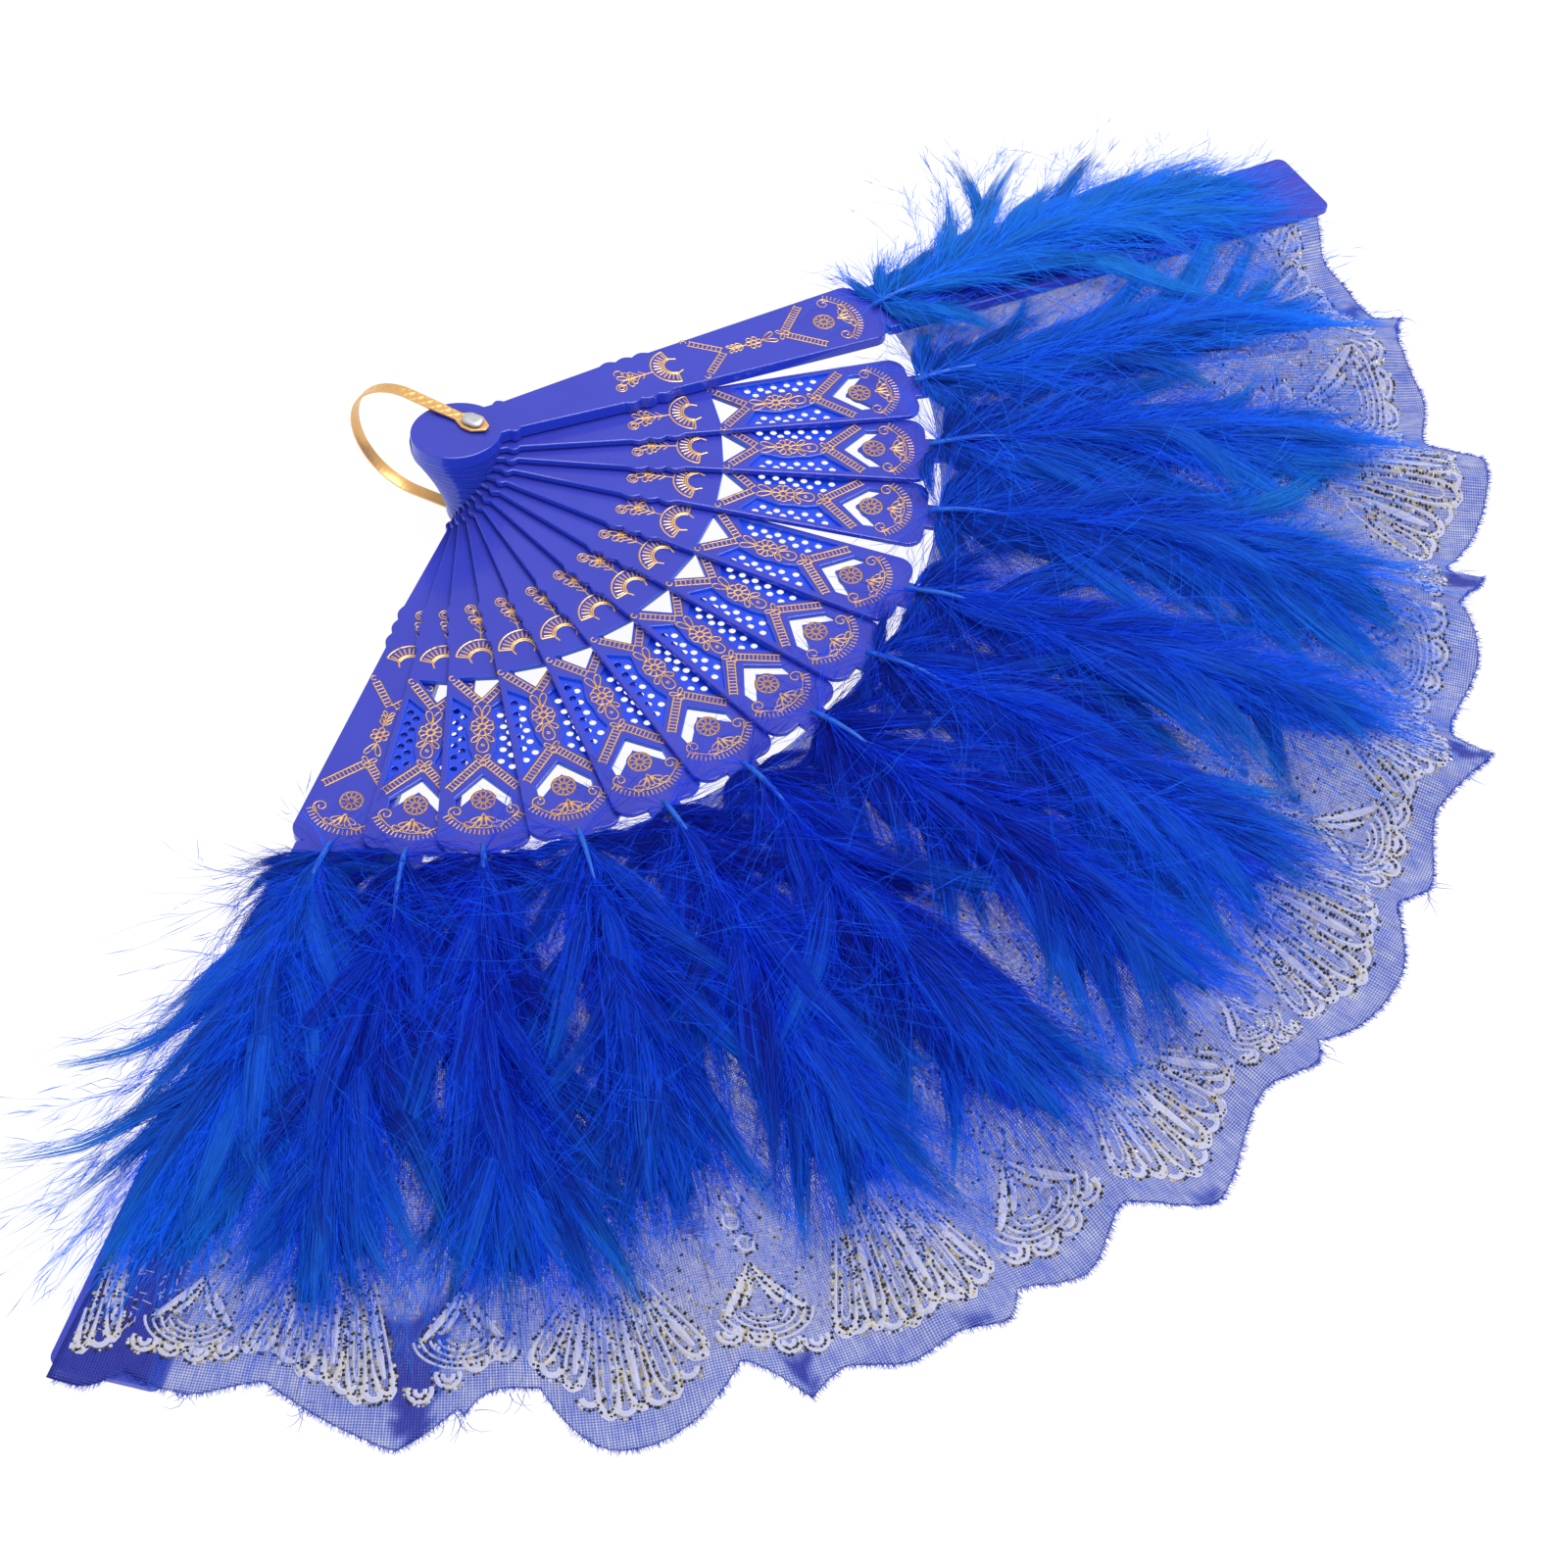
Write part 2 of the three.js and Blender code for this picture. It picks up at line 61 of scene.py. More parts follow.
# Camera: at the photo's angle, from the front guard's side and half way up, tilted a little.
CAMERA_LENS = 67.5
CAMERA_SENSOR = 36
CAMERA_AZIMUTH, CAMERA_ELEVATION, CAMERA_ROLL = np.radians([126.21, 50.20, -1.90])
CAMERA_TARGET = np.array([20.9, 113.7, 0.0]) * MM
CAMERA_DISTANCE = 695.2 * MM


def put_in_scene(name, data):
    """Object of a mesh, a lamp or a camera, in the scene."""
    made = bpy.data.objects.new(name, data)
    bpy.context.scene.collection.objects.link(made)
    return made


def make_camera():
    """Camera that looks at the target from an azimuth and an elevation, rolled about its own axis."""
    sin_a, cos_a = np.sin(CAMERA_AZIMUTH), np.cos(CAMERA_AZIMUTH)
    sin_e, cos_e = np.sin(CAMERA_ELEVATION), np.cos(CAMERA_ELEVATION)
    back = np.array([sin_a * cos_e, -cos_a * cos_e, sin_e])
    level = np.array([cos_a, sin_a, 0.0])
    upright = np.cross(back, level)
    right = np.cos(CAMERA_ROLL) * level - np.sin(CAMERA_ROLL) * upright
    up = np.sin(CAMERA_ROLL) * level + np.cos(CAMERA_ROLL) * upright
    axes = Matrix(np.column_stack([right, up, back]).tolist())
    camera = put_in_scene("camera", bpy.data.cameras.new("camera"))
    camera.data.lens = CAMERA_LENS
    camera.data.sensor_width = CAMERA_SENSOR
    place = Matrix.Translation((CAMERA_TARGET + back * CAMERA_DISTANCE).tolist())
    camera.matrix_world = place @ axes.to_4x4()
    bpy.context.scene.camera = camera


make_camera()


# Materials are written as nodes. A Value is one output socket, and sums and products of Values add
# Math nodes. A Finish is one material, and its node method adds any other kind of node.
class Value:
    """One output of a node, with the arithmetic that the finishes use."""

    def __init__(self, finish, node, output=0):
        self.finish = finish
        self.node = node
        self.socket = node.outputs[output]

    def out(self, output):
        return Value(self.finish, self.node, output)

    def __add__(self, other):
        return self.finish.math("ADD", self, other)

    def __sub__(self, other):
        return self.finish.math("SUBTRACT", self, other)

    def __rsub__(self, other):
        return self.finish.math("SUBTRACT", other, self)

    def __mul__(self, other):
        return self.finish.math("MULTIPLY", self, other)

    def sine(self):
        return self.finish.math("SINE", self)

    __radd__ = __add__
    __rmul__ = __mul__


class Finish:
    """Nodes of one material, or of the world. node() makes a node from its type, its settings and its
    inputs."""

    def __init__(self, name, world=None):
        self.owner = world or bpy.data.materials.new(name)
        self.owner.use_nodes = True
        self.tree = self.owner.node_tree
        self.tree.nodes.clear()

    def node(self, kind, settings, inputs, output=0):
        made = self.tree.nodes.new(kind)
        for name, setting in settings.items():
            if name == "stops":
                self.set_stops(made.color_ramp, setting)
            else:
                setattr(made, name, setting)
        for name, value in inputs.items():
            if isinstance(value, Value):
                self.tree.links.new(value.socket, made.inputs[name])
            else:
                made.inputs[name].default_value = value
        return Value(self, made, output) if len(made.outputs) else None

    @staticmethod
    def set_stops(ramp, stops):
        while len(ramp.elements) < len(stops):
            ramp.elements.new(0.5)
        for element, (position, colour) in zip(ramp.elements, stops):
            element.position = position
            element.color = (*colour, 1)

    def math(self, operation, *numbers):
        return self.node("ShaderNodeMath", {"operation": operation}, dict(enumerate(numbers)))

    def between(self, value, low, high):
        """Share of the way from low to high, smooth and clamped."""
        settings = {"interpolation_type": "SMOOTHSTEP", "clamp": True}
        return self.node("ShaderNodeMapRange", settings, {"Value": value, 1: low, 2: high})

    def mix(self, share, first, second):
        """Colour between two, each a Value or a triple."""
        inputs = {0: share, 6: self.opaque(first), 7: self.opaque(second)}
        return self.node("ShaderNodeMix", {"data_type": "RGBA"}, inputs, 2)

    @staticmethod
    def opaque(colour):
        return colour if isinstance(colour, Value) else (*colour, 1)

    def place(self):
        return self.node("ShaderNodeTexCoord", {}, {}, "Object")

    def noise(self, place, scale, detail=2.0, roughness=0.5):
        inputs = {"Vector": place, "Scale": scale, "Detail": detail, "Roughness": roughness}
        return self.node("ShaderNodeTexNoise", {}, inputs, "Fac")

    def noted(self, name):
        return self.node("ShaderNodeAttribute", {"attribute_name": name}, {}, "Fac")

    def stretched(self, place, scale):
        return self.node("ShaderNodeMapping", {}, {"Vector": place, "Scale": scale})

    def bump(self, height, distance, strength=1.0):
        inputs = {"Height": height, "Distance": distance, "Strength": strength}
        return self.node("ShaderNodeBump", {}, inputs)

    def gloss(self, colour, roughness, **inputs):
        """Principled shader. An input's name is written with underscores for its spaces."""
        named = {name.replace("_", " "): value for name, value in inputs.items()}
        return self.node("ShaderNodeBsdfPrincipled", {},
                         {"Base Color": colour, "Roughness": roughness, **named})

    def lit_through(self, colour):
        return self.node("ShaderNodeBsdfTranslucent", {}, {"Color": (*colour, 1)})

    def gap(self):
        return self.node("ShaderNodeBsdfTransparent", {}, {})

    def mixed(self, share, first, second):
        """Shader between two shaders."""
        return self.node("ShaderNodeMixShader", {}, {0: share, 1: first, 2: second})

    def surface(self, shader):
        self.node("ShaderNodeOutputMaterial", {}, {"Surface": shader})
        return self.owner


def colour(red, green, blue):
    """Linear colour of an sRGB one given from 0 to 255."""
    share = np.array([red, green, blue]) / 255
    linear = np.where(share <= 0.04045, share / 12.92, ((share + 0.055) / 1.055) ** 2.4)
    return tuple(linear.tolist())


# Studio: a pale floor that the camera sees as white, with a faint shadow of the fan on it, a white
# room all round and one large soft lamp overhead.
WHITE = (1, 1, 1, 1)
FLOOR_HALF_SIDE = 4000
FLOOR_GREY = 0.88
SHADOW_SHARE = 0.12
FLOOR_GLOW = 1.08
ROOM_STRENGTH = 0.58
LAMP_SIDE = 900
LAMP_POWER = 15.0
LAMP_PLACE, LAMP_AIM = (-350, 250, 1300), (0, 120, 0)


def white_to_the_eye(finish):
    """1 for rays from the camera, or from gloss or glass, which see a white background."""
    kinds = finish.node("ShaderNodeLightPath", {}, {})
    seen = kinds.out("Is Camera Ray") + kinds.out("Is Glossy Ray") + kinds.out("Is Transmission Ray")
    return finish.math("MINIMUM", seen, 1.0)


def floor_material():
    finish = Finish("studio_floor")
    paint = finish.node("ShaderNodeBsdfDiffuse", {}, {"Color": (FLOOR_GREY,) * 3 + (1,)})
    white = finish.node("ShaderNodeEmission", {}, {"Color": WHITE, "Strength": FLOOR_GLOW})
    share = white_to_the_eye(finish) * (1 - SHADOW_SHARE)
    return finish.surface(finish.mixed(share, paint, white))


def make_floor():
    side = FLOOR_HALF_SIDE * MM
    mesh = bpy.data.meshes.new("studio_floor")
    mesh.from_pydata([(-side, -side, 0), (side, -side, 0), (side, side, 0), (-side, side, 0)], [],
                     [(0, 1, 2, 3)])
    mesh.materials.append(floor_material())
    put_in_scene("studio_floor", mesh)


def make_room():
    """White room: full strength for the camera and through clear parts, weaker as a light."""
    world = bpy.data.worlds.new("studio_room")
    bpy.context.scene.world = world
    finish = Finish("studio_room", world)
    kinds = finish.node("ShaderNodeLightPath", {}, {})
    seen = finish.math("MAXIMUM", kinds.out("Is Camera Ray"), kinds.out("Is Transmission Ray"))
    strength = finish.node("ShaderNodeMapRange", {}, {"Value": seen, "To Min": ROOM_STRENGTH, "To Max": 1.0})
    room = finish.node("ShaderNodeBackground", {}, {"Color": WHITE, "Strength": strength})
    finish.node("ShaderNodeOutputWorld", {}, {"Surface": room})


def make_lamp():
    lamp = bpy.data.lights.new("studio_lamp", "AREA")
    lamp.size = LAMP_SIDE * MM
    lamp.energy = LAMP_POWER
    holder = put_in_scene("studio_lamp", lamp)
    holder.location = tuple(value * MM for value in LAMP_PLACE)
    aim = holder.location - Vector(LAMP_AIM) * MM
    holder.rotation_euler = aim.to_track_quat("Z", "Y").to_euler()


make_floor()
make_room()
make_lamp()
bpy.context.scene.view_settings.view_transform = "Standard"


# Meshes: pieces are worked out as arrays of points and faces, in millimetres, then put into a mesh.
TINY = 1e-9


def make_piece(name, points, faces, materials, face_materials=None, smooth=True):
    """Object of a mesh from points in mm and a list of face arrays, each array of one face size."""
    mesh = bpy.data.meshes.new(name)
    corners = np.concatenate([np.asarray(group).ravel() for group in faces])
    sizes = np.concatenate([np.full(len(group), group.shape[1]) for group in faces])
    mesh.vertices.add(len(points))
    mesh.vertices.foreach_set("co", (np.asarray(points) * MM).astype(np.float32).ravel())
    mesh.loops.add(len(corners))
    mesh.loops.foreach_set("vertex_index", corners.astype(np.int32))
    mesh.polygons.add(len(sizes))
    starts = np.concatenate([[0], np.cumsum(sizes)[:-1]])
    mesh.polygons.foreach_set("loop_start", starts.astype(np.int32))
    mesh.polygons.foreach_set("use_smooth", np.full(len(sizes), smooth))
    for material in materials:
        mesh.materials.append(material)
    if face_materials is not None:
        mesh.polygons.foreach_set("material_index", np.asarray(face_materials).astype(np.int32))
    mesh.update(calc_edges=True)
    mesh.validate()
    return put_in_scene(name, mesh)


def note(piece, name, values):
    """Number kept at each point of a piece, for its material to read."""
    kept = piece.data.attributes.new(name, "FLOAT", "POINT")
    kept.data.foreach_set("value", np.asarray(values, np.float32))


def grid_faces(rows, columns, closed=False):
    """Quads of a grid of points, row by row; closed joins the last column to the first."""
    row, column = np.indices((rows - 1, columns if closed else columns - 1))
    beside = (column + 1) % columns
    quads = [row * columns + column, row * columns + beside,
             (row + 1) * columns + beside, (row + 1) * columns + column]
    return np.stack(quads, axis=-1).reshape(-1, 4)


def end_caps(rows, columns):
    """The two faces that close a tube made by grid_faces, at its first row and at its last."""
    ring = np.arange(columns)
    return np.array([ring[::-1], (rows - 1) * columns + ring])


def unit(vectors):
    """Vectors brought to length one."""
    return vectors / np.maximum(np.linalg.norm(vectors, axis=-1, keepdims=True), TINY)


def left_of(way):
    """Flat vectors a quarter turn to the left of others."""
    return np.stack([-way[..., 1], way[..., 0]], axis=-1)


def square_to(way, lean):
    """Two directions square to each way and to each other. Lean is a direction that no way follows."""
    across = unit(np.cross(way, lean))
    return across, np.cross(way, across)


def joined(*meshes):
    """Meshes as one: points in a row, and the faces of each counted on from the points before it. A
    mesh is its points and then its face arrays. Returns points, face arrays, and where each starts."""
    starts = np.cumsum([0] + [len(points) for points, *_ in meshes])
    faces = [array + start for (_, *arrays), start in zip(meshes, starts) for array in arrays]
    return np.concatenate([points for points, *_ in meshes]), faces, starts


# Sticks: thirteen moulded plastic blades on one rivet, the two guards thicker and unpierced. Each
# leans a little, because the stack is thicker at the heads than at the tips.
CLEARANCE = 0.35
SEAT_GAP = 0.3
RIVET_RADIUS, RIVET_FIT = 1.5, 0.3
HEAD_REACH, HEAD_HALF_LENGTH, HEAD_HALF_WIDTH = 16, 11.5, 10
HEAD_END_TURN = np.pi - 0.55
BEAD_START, BEAD_LENGTH, BEAD_SWELL, NECK_HALF_WIDTH = 7.4, 3.2, 0.9, 5.2
WAVE_START, WAVE_LENGTH, WAVE_COUNT = 38, 4.6, 3
WAVE_HEIGHT, WAVE_HALF_WIDTH = 0.8, 7.5
SHOULDER_REACH, SHOULDER_HALF_WIDTH, SHOULDER_RADIUS = 113, 10.8, 4.2
STICK_THICKNESS, STICK_TIP_THICKNESS = 1.75, 0.8
RIB_REACH, RIB_HALF_WIDTH, RIB_TIP_HALF_WIDTH = 222, 3.9, 3
GUARD_REACH, GUARD_THICKNESS, GUARD_TIP_THICKNESS = 252, 3.6, 2.2
GUARD_NECK_HALF_WIDTH, GUARD_END_HALF_WIDTH, GUARD_CORNER_RADIUS = 8.5, 12, 2.5
GUARD_LIFT = 2.45
BLADE_CHAMFER, CHAMFER_BEND, SHARPEST_MITRE = 0.28, 0.3, 0.6

turns = [joint for joint in frame["joints"] if joint["name"].endswith("_turn")]
STICK_STEPS = np.array([-min(joint["range_deg"]) for joint in turns])
OPENING = STICK_STEPS.sum()
STICK_ANGLES = 90 - OPENING / 2 + np.concatenate([[0], np.cumsum(STICK_STEPS)])
LAST = len(STICK_STEPS)


def stick_body(index):
    """Name of the body of a stick, counted from the back guard."""
    if index == 0:
        return "back_guard"
    return "front_guard" if index == LAST else f"stick_{index:02d}"


def taper(start, end, reach):
    """Size that goes evenly from the rivet's axis to the guards' reach."""
    return start + (end - start) * np.asarray(reach) / GUARD_REACH


def stick_levels(index, reach):
    """Bottom and top of a stick at a reach, from the stack below it."""
    index = np.asarray(index)
    guard = taper(GUARD_THICKNESS, GUARD_TIP_THICKNESS, reach)
    inner = taper(STICK_THICKNESS, STICK_TIP_THICKNESS, reach)
    back_top = taper(GUARD_LIFT, 0, reach) + guard
    bottom = back_top + CLEARANCE + (index - 1) * (inner + CLEARANCE)
    bottom = np.where(index == 0, back_top - guard, bottom)
    thickness = np.where((index == 0) | (index == LAST), guard, inner)
    return bottom, bottom + thickness


def turned(points, degrees):
    """Points turned about the rivet's axis."""
    turn = np.radians(degrees)
    x = points[:, 0] * np.cos(turn) - points[:, 1] * np.sin(turn)
    y = points[:, 0] * np.sin(turn) + points[:, 1] * np.cos(turn)
    return np.column_stack([x, y, points[:, 2]])


def swell(start, length, count, half_width, height, steps):
    """Row of edge bumps: |sin| waves on a straight edge."""
    share = np.linspace(0, count, steps * count + 1)
    return np.column_stack([start + length * share, half_width + height * np.abs(np.sin(np.pi * share))])


def quarter(x, y, radius, steps=8):
    """Round corner from (x - radius, y) to (x, y - radius)."""
    turn = np.linspace(np.pi / 2, 0, steps + 1)
    return np.column_stack([x - radius * (1 - np.cos(turn)), y - radius * (1 - np.sin(turn))])


def blade_edge():
    """Left edge of a blade, from the end of its head to the middle of its shoulder."""
    turn = np.linspace(0, HEAD_END_TURN, 25)
    head = np.column_stack([HEAD_HALF_LENGTH - HEAD_REACH - HEAD_HALF_LENGTH * np.cos(turn),
                            HEAD_HALF_WIDTH * np.sin(turn)])
    bead = swell(BEAD_START, BEAD_LENGTH, 1, NECK_HALF_WIDTH, BEAD_SWELL, 8)
    waves = swell(WAVE_START, WAVE_LENGTH, WAVE_COUNT, WAVE_HALF_WIDTH, WAVE_HEIGHT, 8)
    return np.concatenate([head, bead, waves, quarter(SHOULDER_REACH, SHOULDER_HALF_WIDTH, SHOULDER_RADIUS)])


def rib_edge():
    """Left edge of a rib under the leaf, with a round tip."""
    turn = np.linspace(np.pi / 2, 0, 7)
    tip = np.column_stack([RIB_REACH - RIB_TIP_HALF_WIDTH * (1 - np.cos(turn)),
                           RIB_TIP_HALF_WIDTH * np.sin(turn)])
    return np.concatenate([[[SHOULDER_REACH, RIB_HALF_WIDTH]], tip])


def guard_edge():
    """Left edge of a guard's outer plate, which widens to a square end with round corners."""
    neck = [[SHOULDER_REACH + 1, GUARD_NECK_HALF_WIDTH]]
    return np.concatenate([neck, quarter(GUARD_REACH, GUARD_END_HALF_WIDTH, GUARD_CORNER_RADIUS, 6)])


def blade_half_width(reach):
    """Half width of a blade between its waves and its shoulder."""
    start = WAVE_START + WAVE_COUNT * WAVE_LENGTH
    share = (np.asarray(reach) - start) / (SHOULDER_REACH - SHOULDER_RADIUS - start)
    return WAVE_HALF_WIDTH + (SHOULDER_HALF_WIDTH - WAVE_HALF_WIDTH) * share


def wound(loop, anticlockwise):
    """Loop in the asked direction: outlines go anticlockwise and holes clockwise."""
    x, y = loop[:, 0], loop[:, 1]
    area = (x * np.roll(y, -1) - np.roll(x, -1) * y).sum()
    return loop if (area > 0) == anticlockwise else loop[::-1]


def closed_outline(half):
    """Whole outline from its left half; points on the middle line are kept once."""
    right = half[np.abs(half[:, 1]) > TINY][::-1] * [1, -1]
    return wound(np.concatenate([half, right]), True)


def offset(loop, distance):
    """Loop moved to its left: each point goes along the mitre of its two edges' left normals."""
    normal = left_of(unit(np.roll(loop, -1, axis=0) - loop))
    before = np.roll(normal, 1, axis=0)
    spread = np.maximum(1 + (normal * before).sum(axis=1), SHARPEST_MITRE)
    return loop + distance * (normal + before) / spread[:, None]


def cap_faces(points, rims, upwards):
    """Triangles that close rims, each given by its points' numbers, all facing up or all facing down."""
    flat = [[(*points[corner, :2], 0) for corner in rim] for rim in rims]
    found = np.concatenate(rims)[np.array(tessellate_polygon(flat))]
    a, b, c = (points[found[:, corner], :2] for corner in range(3))
    area = (b[:, 0] - a[:, 0]) * (c[:, 1] - a[:, 1]) - (b[:, 1] - a[:, 1]) * (c[:, 0] - a[:, 0])
    wrong = (area > 0) != upwards
    found[wrong] = found[wrong][:, ::-1]
    return found


def plate(outline, holes, chamfer, low=0.0, high=1.0):
    """Plate with chamfered edges between two shares of a stick's thickness. Each loop is carried up
    through rings of (inset, share, lift), and flat caps close the bottom and the top. Returns points
    as (x, y, share, lift), triangles, quads, and which quads are walls of holes."""
    half = CHAMFER_BEND * chamfer
    rings = [(chamfer, low, 0), (half, low, half), (0, low, chamfer),
             (0, high, -chamfer), (half, high, -half), (chamfer, high, 0)]
    loops = [outline, *holes]
    tubes_up = []
    for loop in loops:
        levels = [np.column_stack([offset(loop, inset), np.tile([share, lift], (len(loop), 1))])
                  for inset, share, lift in rings]
        tubes_up.append((np.concatenate(levels), grid_faces(len(rings), len(loop), closed=True)))
    points, walls, starts = joined(*tubes_up)
    bottom = [start + np.arange(len(loop)) for loop, start in zip(loops, starts)]
    top = [rim + (len(rings) - 1) * len(rim) for rim in bottom]
    caps = np.concatenate([cap_faces(points, bottom, False), cap_faces(points, top, True)])
    in_hole = np.repeat(np.arange(len(loops)) > 0, [len(wall) for wall in walls])
    return points, caps, np.concatenate(walls), in_hole


def arc(x, y, radius, start, end, steps=16):
    """Arc about (x, y) from one angle in degrees to another; the radius may change along it."""
    turn = np.radians(np.linspace(start, end, steps + 1))
    return np.column_stack([x + radius * np.cos(turn), y + radius * np.sin(turn)])


def circle(x, y, radius, steps=16):
    return arc(x, y, radius, 0, 360, steps)[:-1]


# Openings of an inner blade: a triangle, two grilles of round holes in thin recessed floors on both
# sides of a wavy island, and a chevron that bends round a disc.
TRIANGLE_BASE, TRIANGLE_APEX, TRIANGLE_HALF_WIDTH = 61.5, 68, 5.4
WINDOW_START, WINDOW_SLANT, WINDOW_LENGTH, WINDOW_RIM = 67.5, 3.6, 26, 1.5
ISLAND_HALF_WIDTH = 2.2
ISLAND_BULGE, ISLAND_BULGE_REACH, ISLAND_BULGE_LENGTH = 1.5, 77.2, 4.2
ISLAND_LEAF_BULGE, ISLAND_LEAF_REACH, ISLAND_LEAF_LENGTH = 0.8, 83.0, 2.4
GRILLE_FLOOR_LOW, GRILLE_FLOOR_HIGH, GRILLE_OVERLAP, GRILLE_CHAMFER = 0.08, 0.4, 0.15, 0.1
GRILLE_RADIUS, GRILLE_PITCH, GRILLE_ROWS, GRILLE_EDGE = 0.85, 3.5, 6, 1.12
GRILLE_SHARES = (0.78, 0.35)
CHEVRON_APEX, CHEVRON_ARM, CHEVRON_WIDTH = 91.6, 6.4, 3.8
ROSETTE_REACH, ROSETTE_DISC_RADIUS, DISC_START, DISC_END = 99.2, 3.0, 106, 254


def island_half_width(reach):
    """Half width of the island between the windows: a strip with two round bulges."""
    reach = np.asarray(reach, float)
    flower = np.exp(-(((reach - ISLAND_BULGE_REACH) / ISLAND_BULGE_LENGTH) ** 2))
    leaf = np.exp(-(((reach - ISLAND_LEAF_REACH) / ISLAND_LEAF_LENGTH) ** 2))
    return ISLAND_HALF_WIDTH + ISLAND_BULGE * flower + ISLAND_LEAF_BULGE * leaf


def window_outline():
    """Left window: wavy along the island, slanted at both ends, straight along the rim."""
    end = WINDOW_START + WINDOW_LENGTH
    reach = np.linspace(WINDOW_START + WINDOW_SLANT, end - 2 * WINDOW_SLANT, 28)
    inner = np.column_stack([reach, island_half_width(reach)])
    outer = [[x, blade_half_width(x) - WINDOW_RIM] for x in (end, WINDOW_START)]
    return np.concatenate([inner, outer])


def grille_holes():
    """Round holes of the left window in two staggered rows."""
    holes = []
    for column, share in enumerate(GRILLE_SHARES):
        for row in range(GRILLE_ROWS - column):
            x = WINDOW_START + WINDOW_SLANT + GRILLE_PITCH * (row + 0.5 * column)
            inner, outer = island_half_width(x), blade_half_width(x) - WINDOW_RIM
            y = np.clip(inner + (outer - inner) * share, inner + GRILLE_EDGE, outer - GRILLE_EDGE)
            holes.append(circle(x, y, GRILLE_RADIUS))
    return holes


def chevron_outline():
    """Chevron whose tipward side bends round the rosette's disc."""
    end = CHEVRON_APEX + CHEVRON_ARM
    left = [[CHEVRON_APEX, 0], [end, CHEVRON_ARM], [end + CHEVRON_WIDTH, CHEVRON_ARM]]
    disc = arc(ROSETTE_REACH, 0, ROSETTE_DISC_RADIUS, DISC_START, DISC_END, 14)
    disc[:, 0] = np.minimum(disc[:, 0], CHEVRON_APEX + CHEVRON_WIDTH + np.abs(disc[:, 1]))
    right = [[end + CHEVRON_WIDTH, -CHEVRON_ARM], [end, -CHEVRON_ARM]]
    return np.concatenate([left, disc, right])


def both_sides(loop):
    return [loop, loop * [1, -1]]


def mirrored(part):
    """A plate's mirror image across the blade's middle line, with its faces turned round."""
    points, caps, walls, in_hole = part
    return points * [1, -1, 1, 1], caps[:, ::-1], walls[:, ::-1], in_hole


def rivet_hole():
    return circle(0, 0, RIVET_RADIUS + RIVET_FIT, 24)


def plastic_material(name, body, painted_highlight_and_through_colour):
    """Glossy moulded plastic: fine orange peel, faint scratches along the blade, and a little light let
    through it. Edges are painted lighter wherever the surface isn't level: a painted highlight."""
    finish = Finish(name)
    place = finish.place()
    cloudy = finish.noise(place, 45.0, 3.0)
    shade = finish.mix(cloudy, tuple(0.86 * c for c in body), tuple(min(1.12 * c, 1) for c in body))
    geometry = finish.node("ShaderNodeNewGeometry", {}, {})
    upright = finish.node("ShaderNodeSeparateXYZ", {}, {"Vector": geometry.out("Normal")})
    # Painted highlight: the colour turns lighter where the surface tilts away from level, on chamfers and
    # walls.
    edge = finish.between(upright.out("Z"), 0.98, 0.75)
    shade = finish.mix(edge * 0.7, shade, painted_highlight_and_through_colour)
    marks = finish.noise(finish.stretched(place, (1500, 160, 600)), 1.0, 4.0, 0.7)
    scratch = finish.between(marks, 0.62, 0.72)
    relief = finish.bump(finish.noise(place, 900.0) * 0.5 + scratch * -0.4, 0.00006)
    gloss = finish.gloss(shade, 0.2 + scratch * 0.16 + cloudy * 0.05, IOR=1.5, Normal=relief,
                         Coat_Weight=0.35, Coat_Roughness=0.08)
    return finish.surface(finish.mixed(0.18, gloss, finish.lit_through(painted_highlight_and_through_colour)))


blade_plastic = plastic_material("blade_plastic", colour(64, 72, 196), colour(40, 84, 245))
# A lighter copy of the same plastic, for the grille floors and the walls of the holes: painted light.
painted_light_plastic = plastic_material("painted_light_plastic", colour(34, 78, 232), colour(60, 120, 255))


def blade_parts(index):
    """The plates of one blade: the blade itself, and for an inner one its two grille floors."""
    guard = index in (0, LAST)
    half = np.concatenate([blade_edge(), guard_edge() if guard else rib_edge()])
    holes = [rivet_hole()]
    floors = []
    if not guard:
        triangle = np.array([[TRIANGLE_BASE, -TRIANGLE_HALF_WIDTH], [TRIANGLE_APEX, 0],
                             [TRIANGLE_BASE, TRIANGLE_HALF_WIDTH]])
        holes += [triangle, chevron_outline(), *both_sides(window_outline())]
        outline = offset(wound(window_outline(), True), -GRILLE_OVERLAP)
        rounds = [wound(hole, False) for hole in grille_holes()]
        left = plate(outline, rounds, GRILLE_CHAMFER, GRILLE_FLOOR_LOW, GRILLE_FLOOR_HIGH)
        floors = [left, mirrored(left)]
    blade = plate(closed_outline(half), [wound(hole, False) for hole in holes], BLADE_CHAMFER)
    return [blade, *floors]


def lay_on_stick(points, index):
    """Turns (x, y, share, lift) into the stick's own place: share of its thickness, plus the lift."""
    bottom, top = stick_levels(index, points[:, 0])
    height = bottom + (top - bottom) * points[:, 2] + points[:, 3]
    return turned(np.column_stack([points[:, :2], height]), STICK_ANGLES[index])


def make_blade(index):
    """One blade. The grille floors are thinner, and they and the walls of all holes take a lighter copy of
    the plastic: painted light, for light coming through thin plastic.
    """
    name = {0: "back_guard_blade", LAST: "front_guard_blade"}.get(index, f"blade_{index:02d}")
    parts = blade_parts(index)
    points, faces, _ = joined(*((lay_on_stick(points, index), caps, walls)
                                for points, caps, walls, _ in parts))
    kinds = [kind for number, (_, caps, _, in_hole) in enumerate(parts)
             for kind in (np.full(len(caps), number > 0), in_hole | (number > 0))]
    piece = make_piece(name, points, faces, [blade_plastic, painted_light_plastic], np.concatenate(kinds))
    piece.data.set_sharp_from_angle(angle=np.radians(20))
    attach(piece, stick_body(index))
    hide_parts(stick_body(index))


for index in range(LAST + 1):
    make_blade(index)


